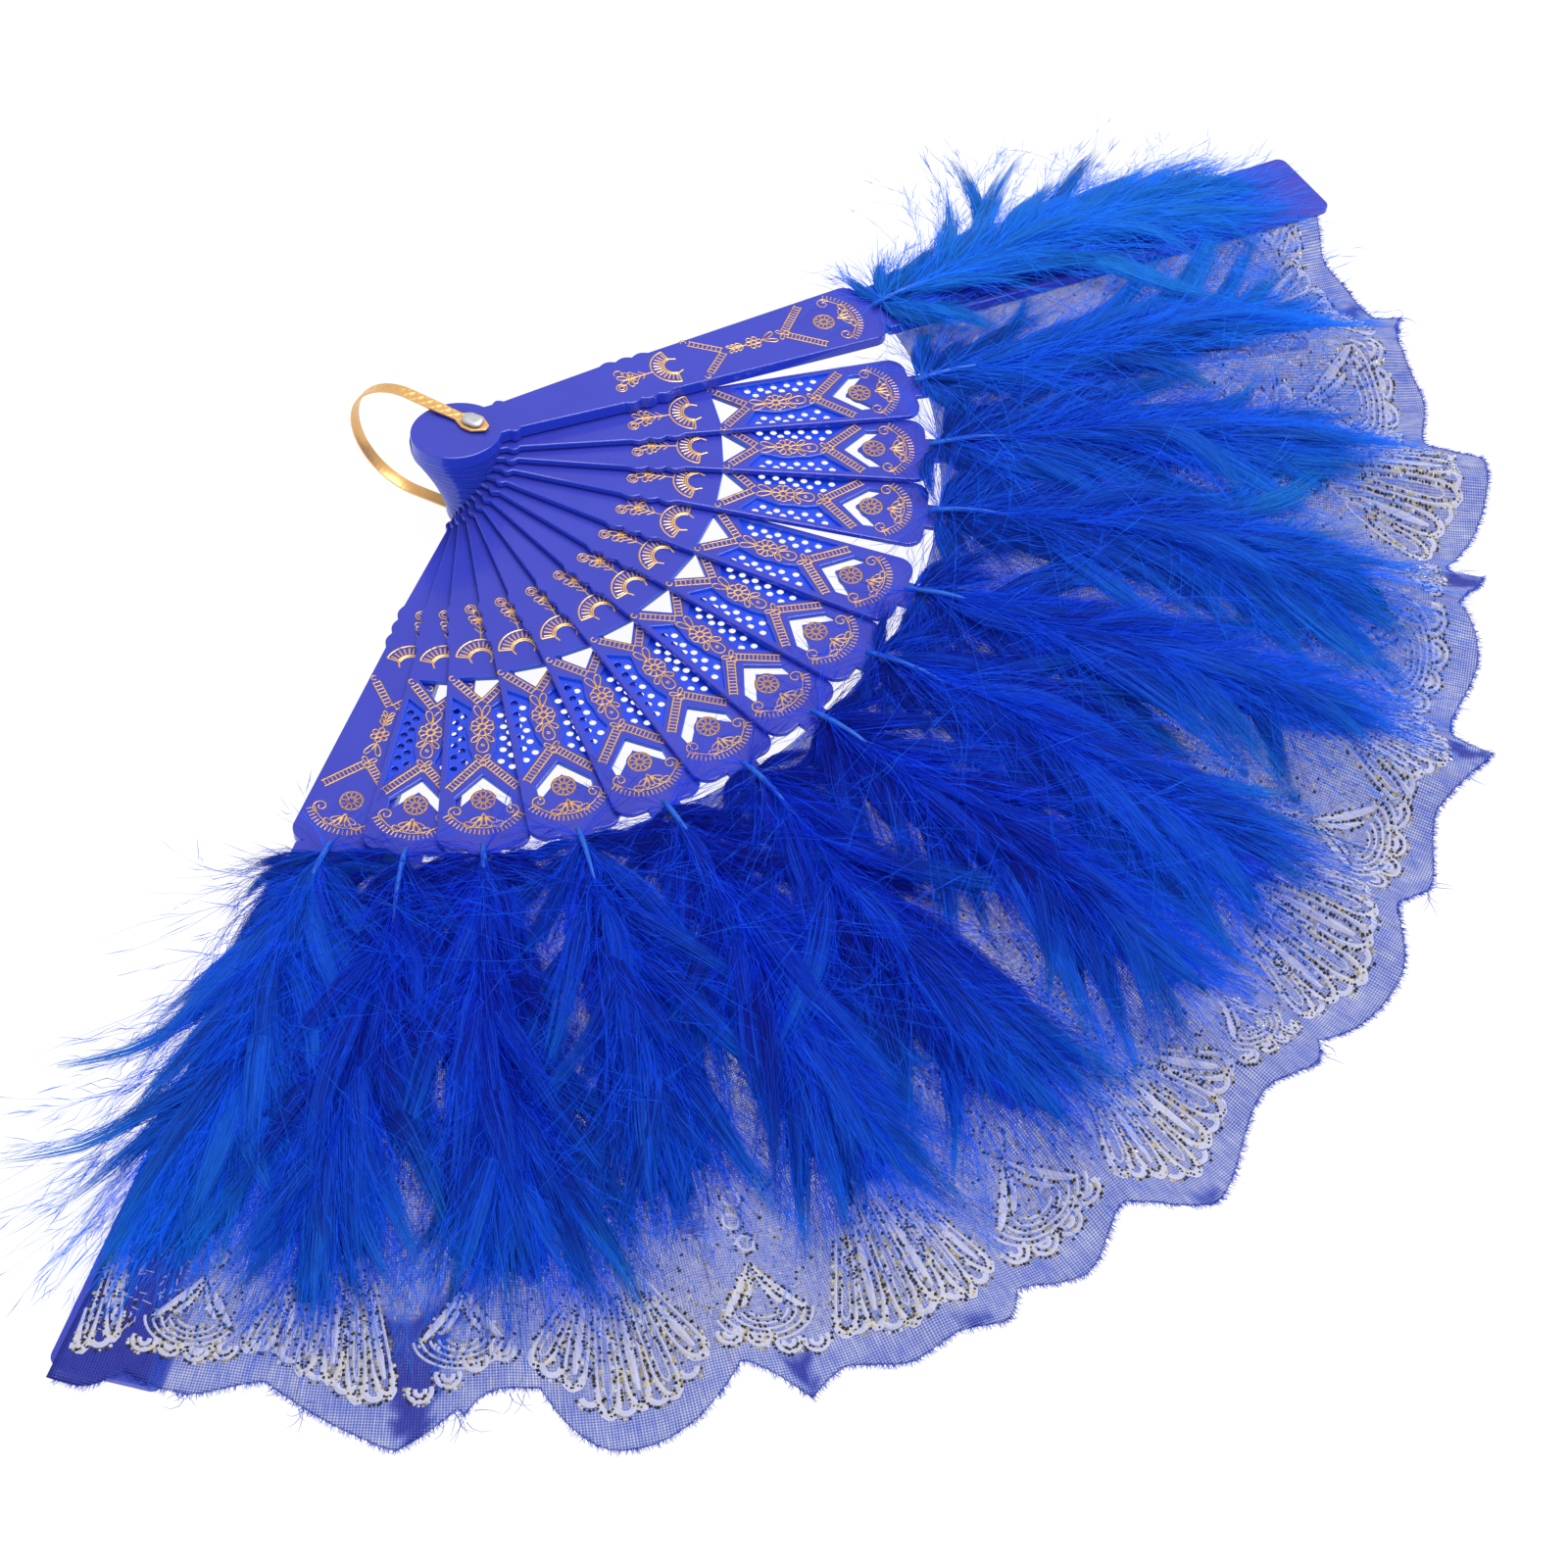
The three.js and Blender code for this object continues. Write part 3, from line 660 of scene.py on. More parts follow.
# Foil print: gold foil pressed onto the blades' faces with a hot die. Thin raised strokes in a
# traditional fan ornament: sprig, sunburst, ladders, flower, rosette and scrolls with combs.
FOIL_RISE, FOIL_SINK, FOIL_SHIFT = 0.09, 0.03, 0.35
FINE, PLAIN, BOLD = 0.28, 0.39, 0.54
# Each foil stroke lies on a wider, lower dark brown ridge of painted shade.
PAINTED_SHADE_RISE, PAINTED_SHADE_BORDER = 0.03, 0.17
# Where the print's parts stand on the blade: reach, or reach and side.
SPRIG_RING, SPRIG_BOW, SPRIG_CURL, SPRIG_STEM_END = (39.9, -2.4), (43.2, -0.2), (41.6, 2.7), (49.8, 0)
SUNBURST_REACH, UPPER_CURL_REACH, SMALL_FLOWER_REACH, RIDGE_FLOWER_REACH = 55.9, 61.9, 78.6, 88.3
UPPER_LADDER_START, UPPER_LADDER_END = (62.9, 6.2), (69.7, 0.5)
LOWER_LADDER_START, LOWER_LADDER_END = (87.9, 0.7), (95.9, 8.1)
END_SCROLL, MIDDLE_SCROLL, CRESCENT_MIDDLE = (102.4, 6.4), (106.0, 3.6), ROSETTE_REACH - 0.6
# Length and direction of the petals of the sprig's bow.
BOW_PETALS = ((3.4, 150), (3.2, 205), (2.8, 100), (2.8, 262), (2.6, 62), (2.4, -58))
SUNBURST_RADII, SUNBURST_FOOT_DEGREES = (6.1, 3.2, 2.7), 98
SIDES, FOIL_SEED = (1, -1), 100


def petal(x, y, length, width, degrees, steps=12):
    """Leaf-shaped loop that leaves (x, y) in a direction: it swells, then comes to a point."""
    turn = np.linspace(0, 2 * np.pi, steps + 1)
    along = length * (1 - np.cos(turn)) / 2
    across = width / 2 * np.sin(turn) * (1 - 0.35 * np.cos(turn))
    cos_d, sin_d = np.cos(np.radians(degrees)), np.sin(np.radians(degrees))
    return np.column_stack([x + along * cos_d - across * sin_d, y + along * sin_d + across * cos_d])


def flower(x, y, inner, outer, width, count):
    """Ring of petals about (x, y), from an inner to an outer radius."""
    starts = circle(x, y, inner, count)
    turns = np.arange(count) * 360 / count
    return [petal(*start, outer - inner, width, turn, 8) for start, turn in zip(starts, turns)]


def line(*corners):
    return np.array(corners, float)


def rays(x, y, inner, outer, start, end, count):
    """Short strokes pointing away from (x, y)."""
    turn = np.radians(np.linspace(start, end, count))
    way = np.column_stack([np.cos(turn), np.sin(turn)])
    return [np.array([[x, y] + inner * w, [x, y] + outer * w]) for w in way]


def ladder(start, end, side, width, rungs):
    """Two rails and the rungs between them, on one side of the blade's middle line."""
    start, end = (np.array(place) * [1, side] for place in (start, end))
    across = left_of(unit(end - start)) * width / 2
    rails = [np.array([start + across, end + across]), np.array([start - across, end - across])]
    steps = start + (end - start) * np.linspace(0.04, 0.96, rungs)[:, None]
    return rails + [np.array([step - across, step + across]) for step in steps]


def sprig():
    """Ring, bow and leafy stem that leads to the sunburst."""
    strokes = [arc(*SPRIG_RING, radius, 0, 360, 14) for radius in (1.35, 0.7)]
    strokes += [petal(*SPRIG_BOW, length, 1.3, turn) for length, turn in BOW_PETALS]
    strokes += [line(SPRIG_BOW, SPRIG_STEM_END)]
    strokes += [line((x, 0), (x - 1.5, side * 1.5)) for x in (45.0, 46.4, 47.8) for side in SIDES]
    return strokes + [arc(*SPRIG_CURL, np.linspace(1.5, 0.5, 13), 200, -60, 12)]


def sunburst():
    """Half ring of rays that faces the rivet, closed at both feet, with a hook inside."""
    start, end = SUNBURST_FOOT_DEGREES, 360 - SUNBURST_FOOT_DEGREES
    strokes = [arc(SUNBURST_REACH, 0, radius, start, end) for radius in SUNBURST_RADII]
    strokes += rays(SUNBURST_REACH, 0, 3.5, 5.4, start + 8, end - 8, 12)
    for side in SIDES:
        outer, inner = ((SUNBURST_REACH + radius * np.cos(np.radians(start)),
                         side * radius * np.sin(np.radians(start))) for radius in (SUNBURST_RADII[0], 3.0))
        strokes += [line(outer, inner), line(inner, (SUNBURST_REACH + 1.4, side * 2.2))]
    return strokes


def upper_ladders():
    """V of two ladders along the triangle's slanted sides, a curl at each end."""
    strokes = []
    for side in SIDES:
        strokes += ladder(UPPER_LADDER_START, UPPER_LADDER_END, side, 1.7, 8)
        strokes += [arc(UPPER_CURL_REACH, side * 7.0, 0.7, 200 * side, -60 * side, 8)]
    return strokes


def medallion():
    """Flower between two pairs of leaves, then an eye-shaped leaf."""
    reach = ISLAND_BULGE_REACH
    strokes = [petal(reach - 2.8, side * 0.3, 3.9, 1.5, 180 - side * 18) for side in SIDES]
    strokes += flower(reach, 0, 0.9, 2.8, 1.5, 9) + [arc(reach, 0, 0.8, 0, 360, 12)]
    strokes += [petal(reach + 2.6, side * 0.8, 2.6, 1.2, side * 42) for side in SIDES]
    return strokes + [petal(reach + 3.2, 0, 4.6, 2.7, 0, 16), arc(reach + 5.6, 0, 0.35, 0, 360, 6)]


def small_flower():
    """Slender spray with a flower in it, on the guards in the place of the medallion."""
    reach = SMALL_FLOWER_REACH
    strokes = flower(reach, 0, 0.7, 2.2, 1.3, 6) + [arc(reach, 0, 0.7, 0, 360, 8)]
    strokes += [line((reach - 6.2, -0.4), (reach - 2, 0)), line((reach + 2, 0), (reach + 4, 0.3))]
    strokes += [petal(reach - 5.8 + step, side * 0.2, 1.9, 0.8, 180 - side * 35)
                for step in (0, 1.3, 2.6) for side in SIDES]
    return strokes + [petal(reach + 2.8, 0.2 * side, 3.8, 1.2, 24 * side) for side in SIDES]


def lower_ladders():
    """Roof of two ladders over the chevron, with a small flower at its ridge."""
    strokes = []
    for side in SIDES:
        strokes += ladder(LOWER_LADDER_START, LOWER_LADDER_END, side, 1.9, 11)
        strokes += [petal(RIDGE_FLOWER_REACH - 1, 0, 2.2, 1.0, side * 130)]
    return strokes + [arc(RIDGE_FLOWER_REACH, 0, 0.8, 0, 360, 8)]


def rosette():
    strokes = [arc(ROSETTE_REACH, 0, radius, 0, 360, 20) for radius in (2.75, 0.75)]
    return strokes + flower(ROSETTE_REACH, 0, 0.95, 2.6, 1.2, 10)


def scrolls():
    """Crescent with a comb along the shoulder, a scroll at each end, leaves in the middle."""
    strokes = [arc(CRESCENT_MIDDLE, 0, 8.8, -62, 62, 24)]
    strokes += rays(CRESCENT_MIDDLE, 0, 9.4, 10.8, -60, 60, 21)
    for side in SIDES:
        (end_x, end_y), (middle_x, middle_y) = END_SCROLL, MIDDLE_SCROLL
        strokes += [arc(end_x, side * end_y, np.linspace(2.0, 0.4, 25), 10 * side, 470 * side, 24)]
        strokes += [arc(middle_x, side * middle_y, np.linspace(1.5, 0.4, 17), -100 * side, 230 * side, 16)]
        strokes += [petal(104.2, side * 0.4, 3.0, 1.1, side * turn) for turn in (24, 62)]
    return strokes + [petal(103.2, 0, 3.6, 1.3, 0)]


def foil_strokes(index):
    """All strokes of one print and the width of each."""
    middle = small_flower() if index in (0, LAST) else medallion()
    groups = ((FINE, rosette()), (PLAIN, sprig() + upper_ladders() + middle + lower_ladders() + scrolls()),
              (BOLD, sunburst()))
    widths = np.concatenate([np.full(len(strokes), width) for width, strokes in groups])
    return [stroke for _, strokes in groups for stroke in strokes], widths


def ridges(strokes, widths, rise, sink):
    """Closed three-sided ridge along each stroke: two feet sunk in the surface and a crest above it.
    A stroke's width is one number or one for each of its points. Returns points as (x, y, lift), quads
    and end triangles."""
    points, quads, ends = [], [], []
    start = 0
    for stroke, width in zip(strokes, widths):
        side = left_of(unit(np.gradient(stroke, axis=0))) * np.reshape(width, (-1, 1)) / 2
        count = len(stroke)
        rows = np.empty((count, 3, 3))
        rows[:, 0, :2], rows[:, 0, 2] = stroke - side, -sink
        rows[:, 1, :2], rows[:, 1, 2] = stroke, rise
        rows[:, 2, :2], rows[:, 2, 2] = stroke + side, -sink
        points.append(rows.reshape(-1, 3))
        quads.append(grid_faces(count, 3, closed=True) + start)
        last = start + 3 * (count - 1)
        ends += [[start + 2, start + 1, start], [last, last + 1, last + 2]]
        start += 3 * count
    return np.concatenate(points), np.concatenate(quads)[:, ::-1], np.array(ends)[:, ::-1]


def foil_material():
    """Gold foil: bright and a little coppery, rubbed thin in places."""
    finish = Finish("gold_foil")
    place = finish.place()
    worn = finish.between(finish.noise(place, 420.0, 4.0, 0.7), 0.56, 0.7)
    gold = finish.mix(finish.noise(place, 130.0), colour(255, 218, 136), colour(238, 170, 90))
    tone = finish.mix(worn, gold, colour(150, 96, 62))
    return finish.surface(finish.gloss(tone, 0.36 + worn * 0.25, Metallic=0.55 - worn * 0.3))


def painted_foil_shade_material():
    """Painted shade round the foil's strokes: dark brown, patchy."""
    finish = Finish("painted_foil_shade")
    tone = finish.mix(finish.noise(finish.place(), 300.0, 3.0), colour(60, 26, 34), colour(104, 56, 44))
    return finish.surface(finish.gloss(tone, 0.5))


gold_foil = foil_material()
painted_foil_shade = painted_foil_shade_material()


def make_foil(index):
    """The print of one blade, set off its place a little as hand-fed pressing leaves it."""
    draw = np.random.default_rng(FOIL_SEED + index)
    strokes, widths = foil_strokes(index)
    # The foil's strokes, and under each a wider, lower ridge in painted shade.
    points, faces, _ = joined(ridges(strokes, widths, FOIL_RISE, FOIL_SINK),
                              ridges(strokes, widths + 2 * PAINTED_SHADE_BORDER, PAINTED_SHADE_RISE, FOIL_SINK))
    points[:, :2] += draw.uniform(-FOIL_SHIFT, FOIL_SHIFT, 2)
    laid = np.column_stack([points[:, :2], np.ones(len(points)), points[:, 2]])
    kinds = np.repeat([0, 0, 1, 1], [len(group) for group in faces])
    piece = make_piece(f"foil_print_{index:02d}", lay_on_stick(laid, index), faces,
                       [gold_foil, painted_foil_shade], kinds)
    piece.data.set_sharp_from_angle(angle=np.radians(40))
    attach(piece, stick_body(index))


for index in range(LAST + 1):
    make_foil(index)


# Leaf: one sheer organza cloth in twelve panels, cut out along the lobes of its lace pattern. It is glued
# to the back guard and the ribs and goes under the front guard.
LEAF_INNER_REACH, LEAF_START_DEGREES, GLUED_DEGREES = 116, 21.6, 26.3
LEAF_FLAT_MARGIN, LEAF_SAG_START, LEAF_SAG_END, FIRST_SAGGING_PANEL = 0.6, 150, 253, 3
RIM_DROOP_START, RIM_DROOP_END, RIM_DROOP_SHARE = 224, 261, 0.35
CLOTH_SEAT, CLOTH_THICKNESS, LEAF_RIPPLE, RIPPLE_START, RIPPLE_FULL = 0.35, 0.14, 0.45, 120, 150
LEAF_ROWS, LEAF_COLUMNS = 64, 35
FOLD_REACH, FOLD_HEIGHT, FOLD_HALF_WIDTH = 190, 10, 6
THREAD_PITCH = 0.62
# How the rim goes from a notch to a peak and back: powers of the share that flatten it at the notch
# and at the peak.
ROUND, WAVE, SLOPE, CUSP, CLIFF = (1, 2.2), (1.7, 1.9), (1, 1.2), (1.6, 1), (5, 1)
# The rim's lobes: degrees and reach of the notch and of the peak after it, and the way up and down.
RIM_LOBES = (
    (20.0, 254.5, 22.8, 255.5, ROUND, ROUND), (24.8, 250.0, 28.0, 252.5, ROUND, WAVE),
    (31.5, 247.7, 37.8, 261.0, SLOPE, SLOPE), (40.4, 252.3, 40.8, 253.8, SLOPE, CLIFF),
    (44.2, 248.3, 48.0, 263.3, ROUND, ROUND),
    (53.5, 250.8, 56.2, 261.2, CUSP, CUSP), (58.2, 256.5, 61.2, 261.1, WAVE, SLOPE),
    (63.4, 259.7, 65.4, 261.1, SLOPE, ROUND), (67.1, 255.3, 70.4, 259.4, WAVE, WAVE),
    (73.8, 252.1, 77.6, 262.3, SLOPE, WAVE), (83.6, 251.8, 86.6, 255.5, WAVE, ROUND),
    (88.5, 251.8, 93.8, 258.7, ROUND, WAVE), (98.2, 249.6, 100.8, 254.0, WAVE, WAVE),
    (105.0, 249.0, 110.6, 257.8, SLOPE, CLIFF), (112.4, 247.2, 116.8, 251.5, WAVE, ROUND),
    (119.7, 245.3, 123.9, 253.9, SLOPE, CLIFF), (124.8, 245.3, 131.6, 258.2, ROUND, WAVE),
    (135.1, 247.6, 138.4, 251.5, WAVE, WAVE), (141.5, 247.9, 145.7, 257.7, CUSP, CLIFF),
    (147.4, 251.2, 149.0, 250.6, SLOPE, WAVE), (151.4, 246.3, 157.5, 251.4, SLOPE, SLOPE),
    (160.0, 251.4, 161.0, 251.4, SLOPE, SLOPE),
)
RIM_NOTCHES = np.array([lobe[:2] for lobe in RIM_LOBES])
RIM_PEAKS = np.array([lobe[2:4] for lobe in RIM_LOBES])
RIM_RISES, RIM_FALLS = (np.array([lobe[side] for lobe in RIM_LOBES]) for side in (4, 5))
# Places where the rim is doubled over: degrees from and to, and how deep.
RIM_DOUBLED = np.array([[35.6, 41.4, 30], [55.4, 57.0, 11], [62.8, 65.6, 4], [76.2, 78.6, 4],
                        [108.6, 111.2, 13], [120.4, 124.8, 11], [146.6, 148.4, 8]])


def rim_reach(degrees):
    """Reach of the rim. Between a notch and a peak it is 1 - (1 - share^a)^b of the way up."""
    degrees = np.asarray(degrees, float)
    lobe = np.clip(np.searchsorted(RIM_NOTCHES[:, 0], degrees) - 1, 0, len(RIM_LOBES) - 2)
    rising = degrees < RIM_PEAKS[lobe, 0]
    notch = RIM_NOTCHES[np.where(rising, lobe, lobe + 1)]
    peak = RIM_PEAKS[lobe]
    flat = np.where(rising[..., None], RIM_RISES[lobe], RIM_FALLS[lobe])
    share = np.clip((degrees - notch[..., 0]) / (peak[..., 0] - notch[..., 0]), 0, 1)
    way_up = 1 - (1 - share ** flat[..., 0]) ** flat[..., 1]
    return notch[..., 1] + (peak[..., 1] - notch[..., 1]) * way_up


def smooth(value, low, high):
    """Share of the way from low to high, 3 t^2 - 2 t^3."""
    share = np.clip((value - low) / (high - low), 0, 1)
    return share * share * (3 - 2 * share)


def rib_half_width(index, reach):
    """Half width of what the cloth is glued to: a guard's plate or a rib."""
    guard_share = (reach - SHOULDER_REACH) / (GUARD_REACH - SHOULDER_REACH)
    guard = GUARD_NECK_HALF_WIDTH + (GUARD_END_HALF_WIDTH - GUARD_NECK_HALF_WIDTH) * guard_share
    rib_share = np.minimum((reach - SHOULDER_REACH) / (RIB_REACH - SHOULDER_REACH), 1)
    rib = RIB_HALF_WIDTH + (RIB_TIP_HALF_WIDTH - RIB_HALF_WIDTH) * rib_share
    return np.where((index == 0) | (index == LAST), guard, rib)


def cloth_level(degrees, reach):
    """Height of the cloth: level over both sticks and an even slope between them. The slope droops to
    the ground towards the rim, the whole cloth droops past the ribs' ends, and it ripples a little, as
    the product of two sines that run slantwise across each other."""
    panel = np.clip(np.searchsorted(STICK_ANGLES, degrees), 1, LAST)
    start, end = STICK_ANGLES[panel - 1], STICK_ANGLES[panel]
    low = stick_levels(panel - 1, reach)[1]
    under_guard = stick_levels(panel, reach)[0] - 2 * CLOTH_SEAT - CLOTH_THICKNESS
    high = np.where(panel == LAST, under_guard, stick_levels(panel, reach)[1])
    flat_start = rib_half_width(panel - 1, reach) + LEAF_FLAT_MARGIN
    flat_end = rib_half_width(panel, reach) + LEAF_FLAT_MARGIN
    width = reach * np.radians(end - start)
    place = reach * np.radians(degrees - start)
    share = np.clip((place - flat_start) / (width - flat_start - flat_end), 0, 1)
    hang = np.sin(np.pi * share) * (panel >= FIRST_SAGGING_PANEL)
    level = (low + (high - low) * share) * (1 - smooth(reach, LEAF_SAG_START, LEAF_SAG_END) * hang)
    held = (panel == LAST) * share + (panel == 1) * (1 - share)
    level = level * (1 - RIM_DROOP_SHARE * smooth(reach, RIM_DROOP_START, RIM_DROOP_END) * (1 - held))
    wave = 0.5 + 0.5 * np.sin(0.9 * degrees + 0.05 * reach) * np.sin(0.11 * reach + 1.7 * degrees)
    ripple = LEAF_RIPPLE * wave * np.sin(np.pi * share) * smooth(reach, RIPPLE_START, RIPPLE_FULL)
    return level + CLOTH_SEAT + ripple


def polar(degrees, reach, height):
    """Points at angles and reaches from the rivet's axis."""
    turn = np.radians(degrees)
    return np.stack([reach * np.cos(turn), reach * np.sin(turn), height], axis=-1)


def slab(top, bottom):
    """Closed slab between two grids of points whose columns go anticlockwise and rows outwards."""
    rows, columns = top.shape[:2]
    quads = grid_faces(rows, columns)
    ids = np.arange(rows * columns).reshape(rows, columns)
    rim = np.concatenate([ids[0, :-1], ids[:-1, -1], ids[-1, :0:-1], ids[:0:-1, 0]])
    ahead = np.roll(rim, -1)
    count = rows * columns
    sides = np.column_stack([rim, ahead, ahead + count, rim + count])
    points = np.concatenate([top.reshape(-1, 3), bottom.reshape(-1, 3)])
    return points, np.concatenate([quads[:, ::-1], quads + count, sides])


def fold(piece, panel):
    """Bakes a panel's piece's place into its mesh. It works out the middle between the panel's two sticks, a
    centre and a direction across, but the piece does not follow its sticks.
    """
    middle = (STICK_ANGLES[panel - 1] + STICK_ANGLES[panel]) / 2
    centre = polar(middle, FOLD_REACH, FOLD_HEIGHT)
    across = polar(middle + 90, FOLD_HALF_WIDTH, 0)
    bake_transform(piece)


def organza_material():
    """Sheer blue organza: fine threads both ways with open gaps, a little uneven, lit through. Inside
    the plain band a lilac weft fills the ground, with white and dark floating threads in short dashes.
    Where the rim is doubled it is denser and darker, and over the back guard, where the cloth is glued, it
    is painted as dark and dense as well: painted shade."""
    finish = Finish("blue_organza")
    weave = finish.node("ShaderNodeUVMap", {"uv_map": "weave"}, {})
    axes = finish.node("ShaderNodeSeparateXYZ", {}, {"Vector": weave})
    pitch = 2 * np.pi / (THREAD_PITCH * MM)
    mesh = (axes.out("X") * pitch).sine() + (axes.out("Y") * pitch).sine()
    slub = finish.noise(finish.stretched(weave, (1500, 160, 1)), 1.0, 3.0, 0.6)
    weft = finish.noise(finish.stretched(weave, (560, 1700, 1)), 1.0, 2.0, 0.6)
    warp = finish.noise(finish.stretched(weave, (1500, 520, 1)), 1.0, 2.0, 0.6)
    cloud = finish.noise(weave, 90.0, 4.0, 0.7)
    # The doubled mark is 1 where the rim is doubled, and also over the back guard, where it is painted
    # shade.
    double, inside = finish.noted("double"), finish.noted("rim")
    ground = finish.between(inside, 7.0, 12.0) * (1 - double)
    white = finish.between(weft, 0.48, 0.56) * ground
    dark = finish.between(warp, 0.6, 0.66) * ground
    cover = 0.53 + mesh * 0.16 + (slub - 0.5) * 0.6 + (cloud - 0.5) * 0.6 + ground * 0.1 + white * 0.12
    cover = cover + finish.between(inside, 0.7, 0.2) * 0.1 + double * 0.45 + dark * 0.3
    plain = finish.mix(slub, colour(34, 74, 200), colour(96, 126, 224))
    deep = finish.mix(double * 0.95, plain, colour(18, 32, 156))
    filled = finish.mix(ground * 0.6, deep, colour(160, 166, 214))
    dashed = finish.mix(white * 0.75, filled, colour(196, 200, 228))
    tone = finish.mix(dark * 0.7, dashed, colour(30, 34, 84))
    threads = finish.gloss(tone, 0.5, Normal=finish.bump(mesh, 0.00008, 0.6))
    through = finish.lit_through(colour(62, 104, 226))
    lit = finish.mixed(0.45 - double * 0.35 - dark * 0.3, threads, through)
    return finish.surface(finish.mixed(cover, finish.gap(), lit))


blue_organza = organza_material()


def doubled(degrees, inside):
    """1 where the rim is doubled over, from the angle and the distance inside the rim: a patch that
    widens inwards."""
    start, end, depth = (RIM_DOUBLED[:, column][:, None, None] for column in range(3))
    half = (end - start) / 2 * (0.15 + 0.85 * np.clip(inside / depth, 0, 1))
    away = np.abs(degrees - (start + end) / 2 - 0.3 * np.sin(inside))
    patch = (1 - smooth(away, half - 0.3, half + 0.3)) * (1 - smooth(inside, depth - 4, depth + 1))
    return patch.max(axis=0)


def lay_weave(piece, flat_places):
    """Flat place of each point, kept as the map that the threads follow."""
    corners = np.empty(len(piece.data.loops), int)
    piece.data.loops.foreach_get("vertex_index", corners)
    weave = piece.data.uv_layers.new(name="weave")
    weave.data.foreach_set("uv", (flat_places[corners] * MM).astype(np.float32).ravel())


def make_leaf_panel(panel):
    """One panel of the cloth, and the size it was cut to."""
    start = LEAF_START_DEGREES if panel == 1 else STICK_ANGLES[panel - 1]
    end = STICK_ANGLES[panel]
    bends = np.concatenate([RIM_NOTCHES[:, 0], RIM_PEAKS[:, 0]])
    inside = bends[(bends > start) & (bends < end)]
    columns = np.unique(np.concatenate([np.linspace(start, end, LEAF_COLUMNS), inside]))
    degrees = np.tile(columns, (LEAF_ROWS, 1))
    share = np.linspace(0, 1, LEAF_ROWS)[:, None] ** 0.8
    rim = rim_reach(degrees)
    reach = LEAF_INNER_REACH + (rim - LEAF_INNER_REACH) * share
    level = cloth_level(degrees, reach)
    points, faces = slab(polar(degrees, reach, level + CLOTH_THICKNESS), polar(degrees, reach, level))
    piece = make_piece(f"leaf_cloth_{panel:02d}", points, [faces], [blue_organza])
    note(piece, "rim", np.tile((rim - reach).ravel(), 2))
    # Painted shade: over the back guard the cloth is marked dark and dense like a doubled rim.
    painted_guard_shade = 1 - smooth(degrees, GLUED_DEGREES - 0.4, GLUED_DEGREES)
    note(piece, "double", np.tile(np.maximum(doubled(degrees, rim - reach), painted_guard_shade).ravel(), 2))
    flat_place = np.stack([np.radians(degrees) * LEAF_SAG_END, reach], axis=-1).reshape(-1, 2)
    lay_weave(piece, np.tile(flat_place, (2, 1)))
    fold(piece, panel)
    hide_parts(f"leaf_panel_{panel:02d}")
    steps = np.radians(np.diff(columns))
    area = (rim[0] ** 2 - LEAF_INNER_REACH ** 2) / 2
    cut = ((area[1:] + area[:-1]) / 2 * steps).sum() * MM ** 2
    flat = (rim.max() * np.radians(end - start) * MM, (rim.max() - LEAF_INNER_REACH) * MM)
    return piece, flat, cut


# Lace: the cloth's woven pattern. Shells of nested petals take turns along the rim with small arched
# motifs, and glitter dots of gold and dark olive follow their outlines. Threads hang from the cut rim.
# Middle and half width, in degrees, of each shell and of each small motif.
SHELL_PLACES = ((20.8, 3.4), (33.8, 4.1), (48.0, 4.6), (62.6, 4.6), (79.0, 5.1), (93.8, 4.9), (108.4, 4.2),
                (130.0, 5.1), (146.9, 4.9))
ARCH_PLACES = ((27.2, 2.5), (40.6, 2.5), (55.4, 2.6), (70.4, 2.9), (86.3, 2.3), (101.7, 3.0), (115.9, 3.1),
               (122.3, 2.4), (138.5, 3.3), (154.6, 2.8))
PLAIN_BAND, CUT_MARGIN_DEGREES = 6.2, 0.3
SHELL_LENGTH, SHELL_PETALS, SHELL_FOOT_SHARE = 38, 6, 0.36
ARCH_HALF_WIDTH, ARCHES, CHAIN_RINGS = 14, 5, 4
LACE_RISE, LACE_SINK = 0.14, 0.04
DOT_STEP, DOT_RADIUS, DOT_HEIGHT, DOTS_LEFT_OUT, DOTS_OFF_LINE = 0.85, 0.43, 0.34, 0.15, 0.13
SPECKS, SPECKS_START, SPECKS_BELOW_CROWN, SPECK_WIDTH = 7500, 160, 6, 0.34
BARS_LENGTH, BARS_HALF_WIDTH, BAR_STEP, BAR_PITCH, BAR_WIDTH = 42, 6.5, 1.7, 2.2, 0.5
FRAYED_BUNCHES, THREADS_IN_BUNCH, SHORT_THREADS, THREAD_STEPS = 9, 7, 5200, 4
THREAD_FOOT_RADIUS, THREAD_TIP_RADIUS, LOWEST_THREAD = 0.09, 0.03, 0.15
PATTERN_SEED, THREAD_SEED, GLITTER_SEED = 7, 11, 300


def curve(start, control, end, steps=22):
    """Quadratic curve from start to end, drawn towards a control point."""
    share = np.linspace(0, 1, steps + 1)[:, None]
    start, control, end = (np.array(point, float) for point in (start, control, end))
    return start * (1 - share) ** 2 + 2 * control * share * (1 - share) + end * share ** 2


def petal_loop(axis, half_width):
    """Outline of a long petal about its axis: it widens as the root of the share and ends round."""
    share = np.linspace(0, 1, len(axis))
    side = left_of(unit(np.gradient(axis, axis=0)))
    reach = (half_width * np.sqrt(share) * np.sqrt(1 - share ** 8))[:, None]
    return np.concatenate([axis + side * reach, (axis - side * reach)[::-1]])


def petal_widths(count, thin, thick):
    """Width along a petal's outline: thin at the foot and thick round the far end."""
    share = 1 - np.abs(np.linspace(-1, 1, 2 * count))
    return thin + (thick - thin) * smooth(share, 0.72, 0.96)


def run_along(path):
    """Length of a flat path from its start to each of its points."""
    return np.concatenate([[0], np.cumsum(np.linalg.norm(np.diff(path, axis=0), axis=1))])


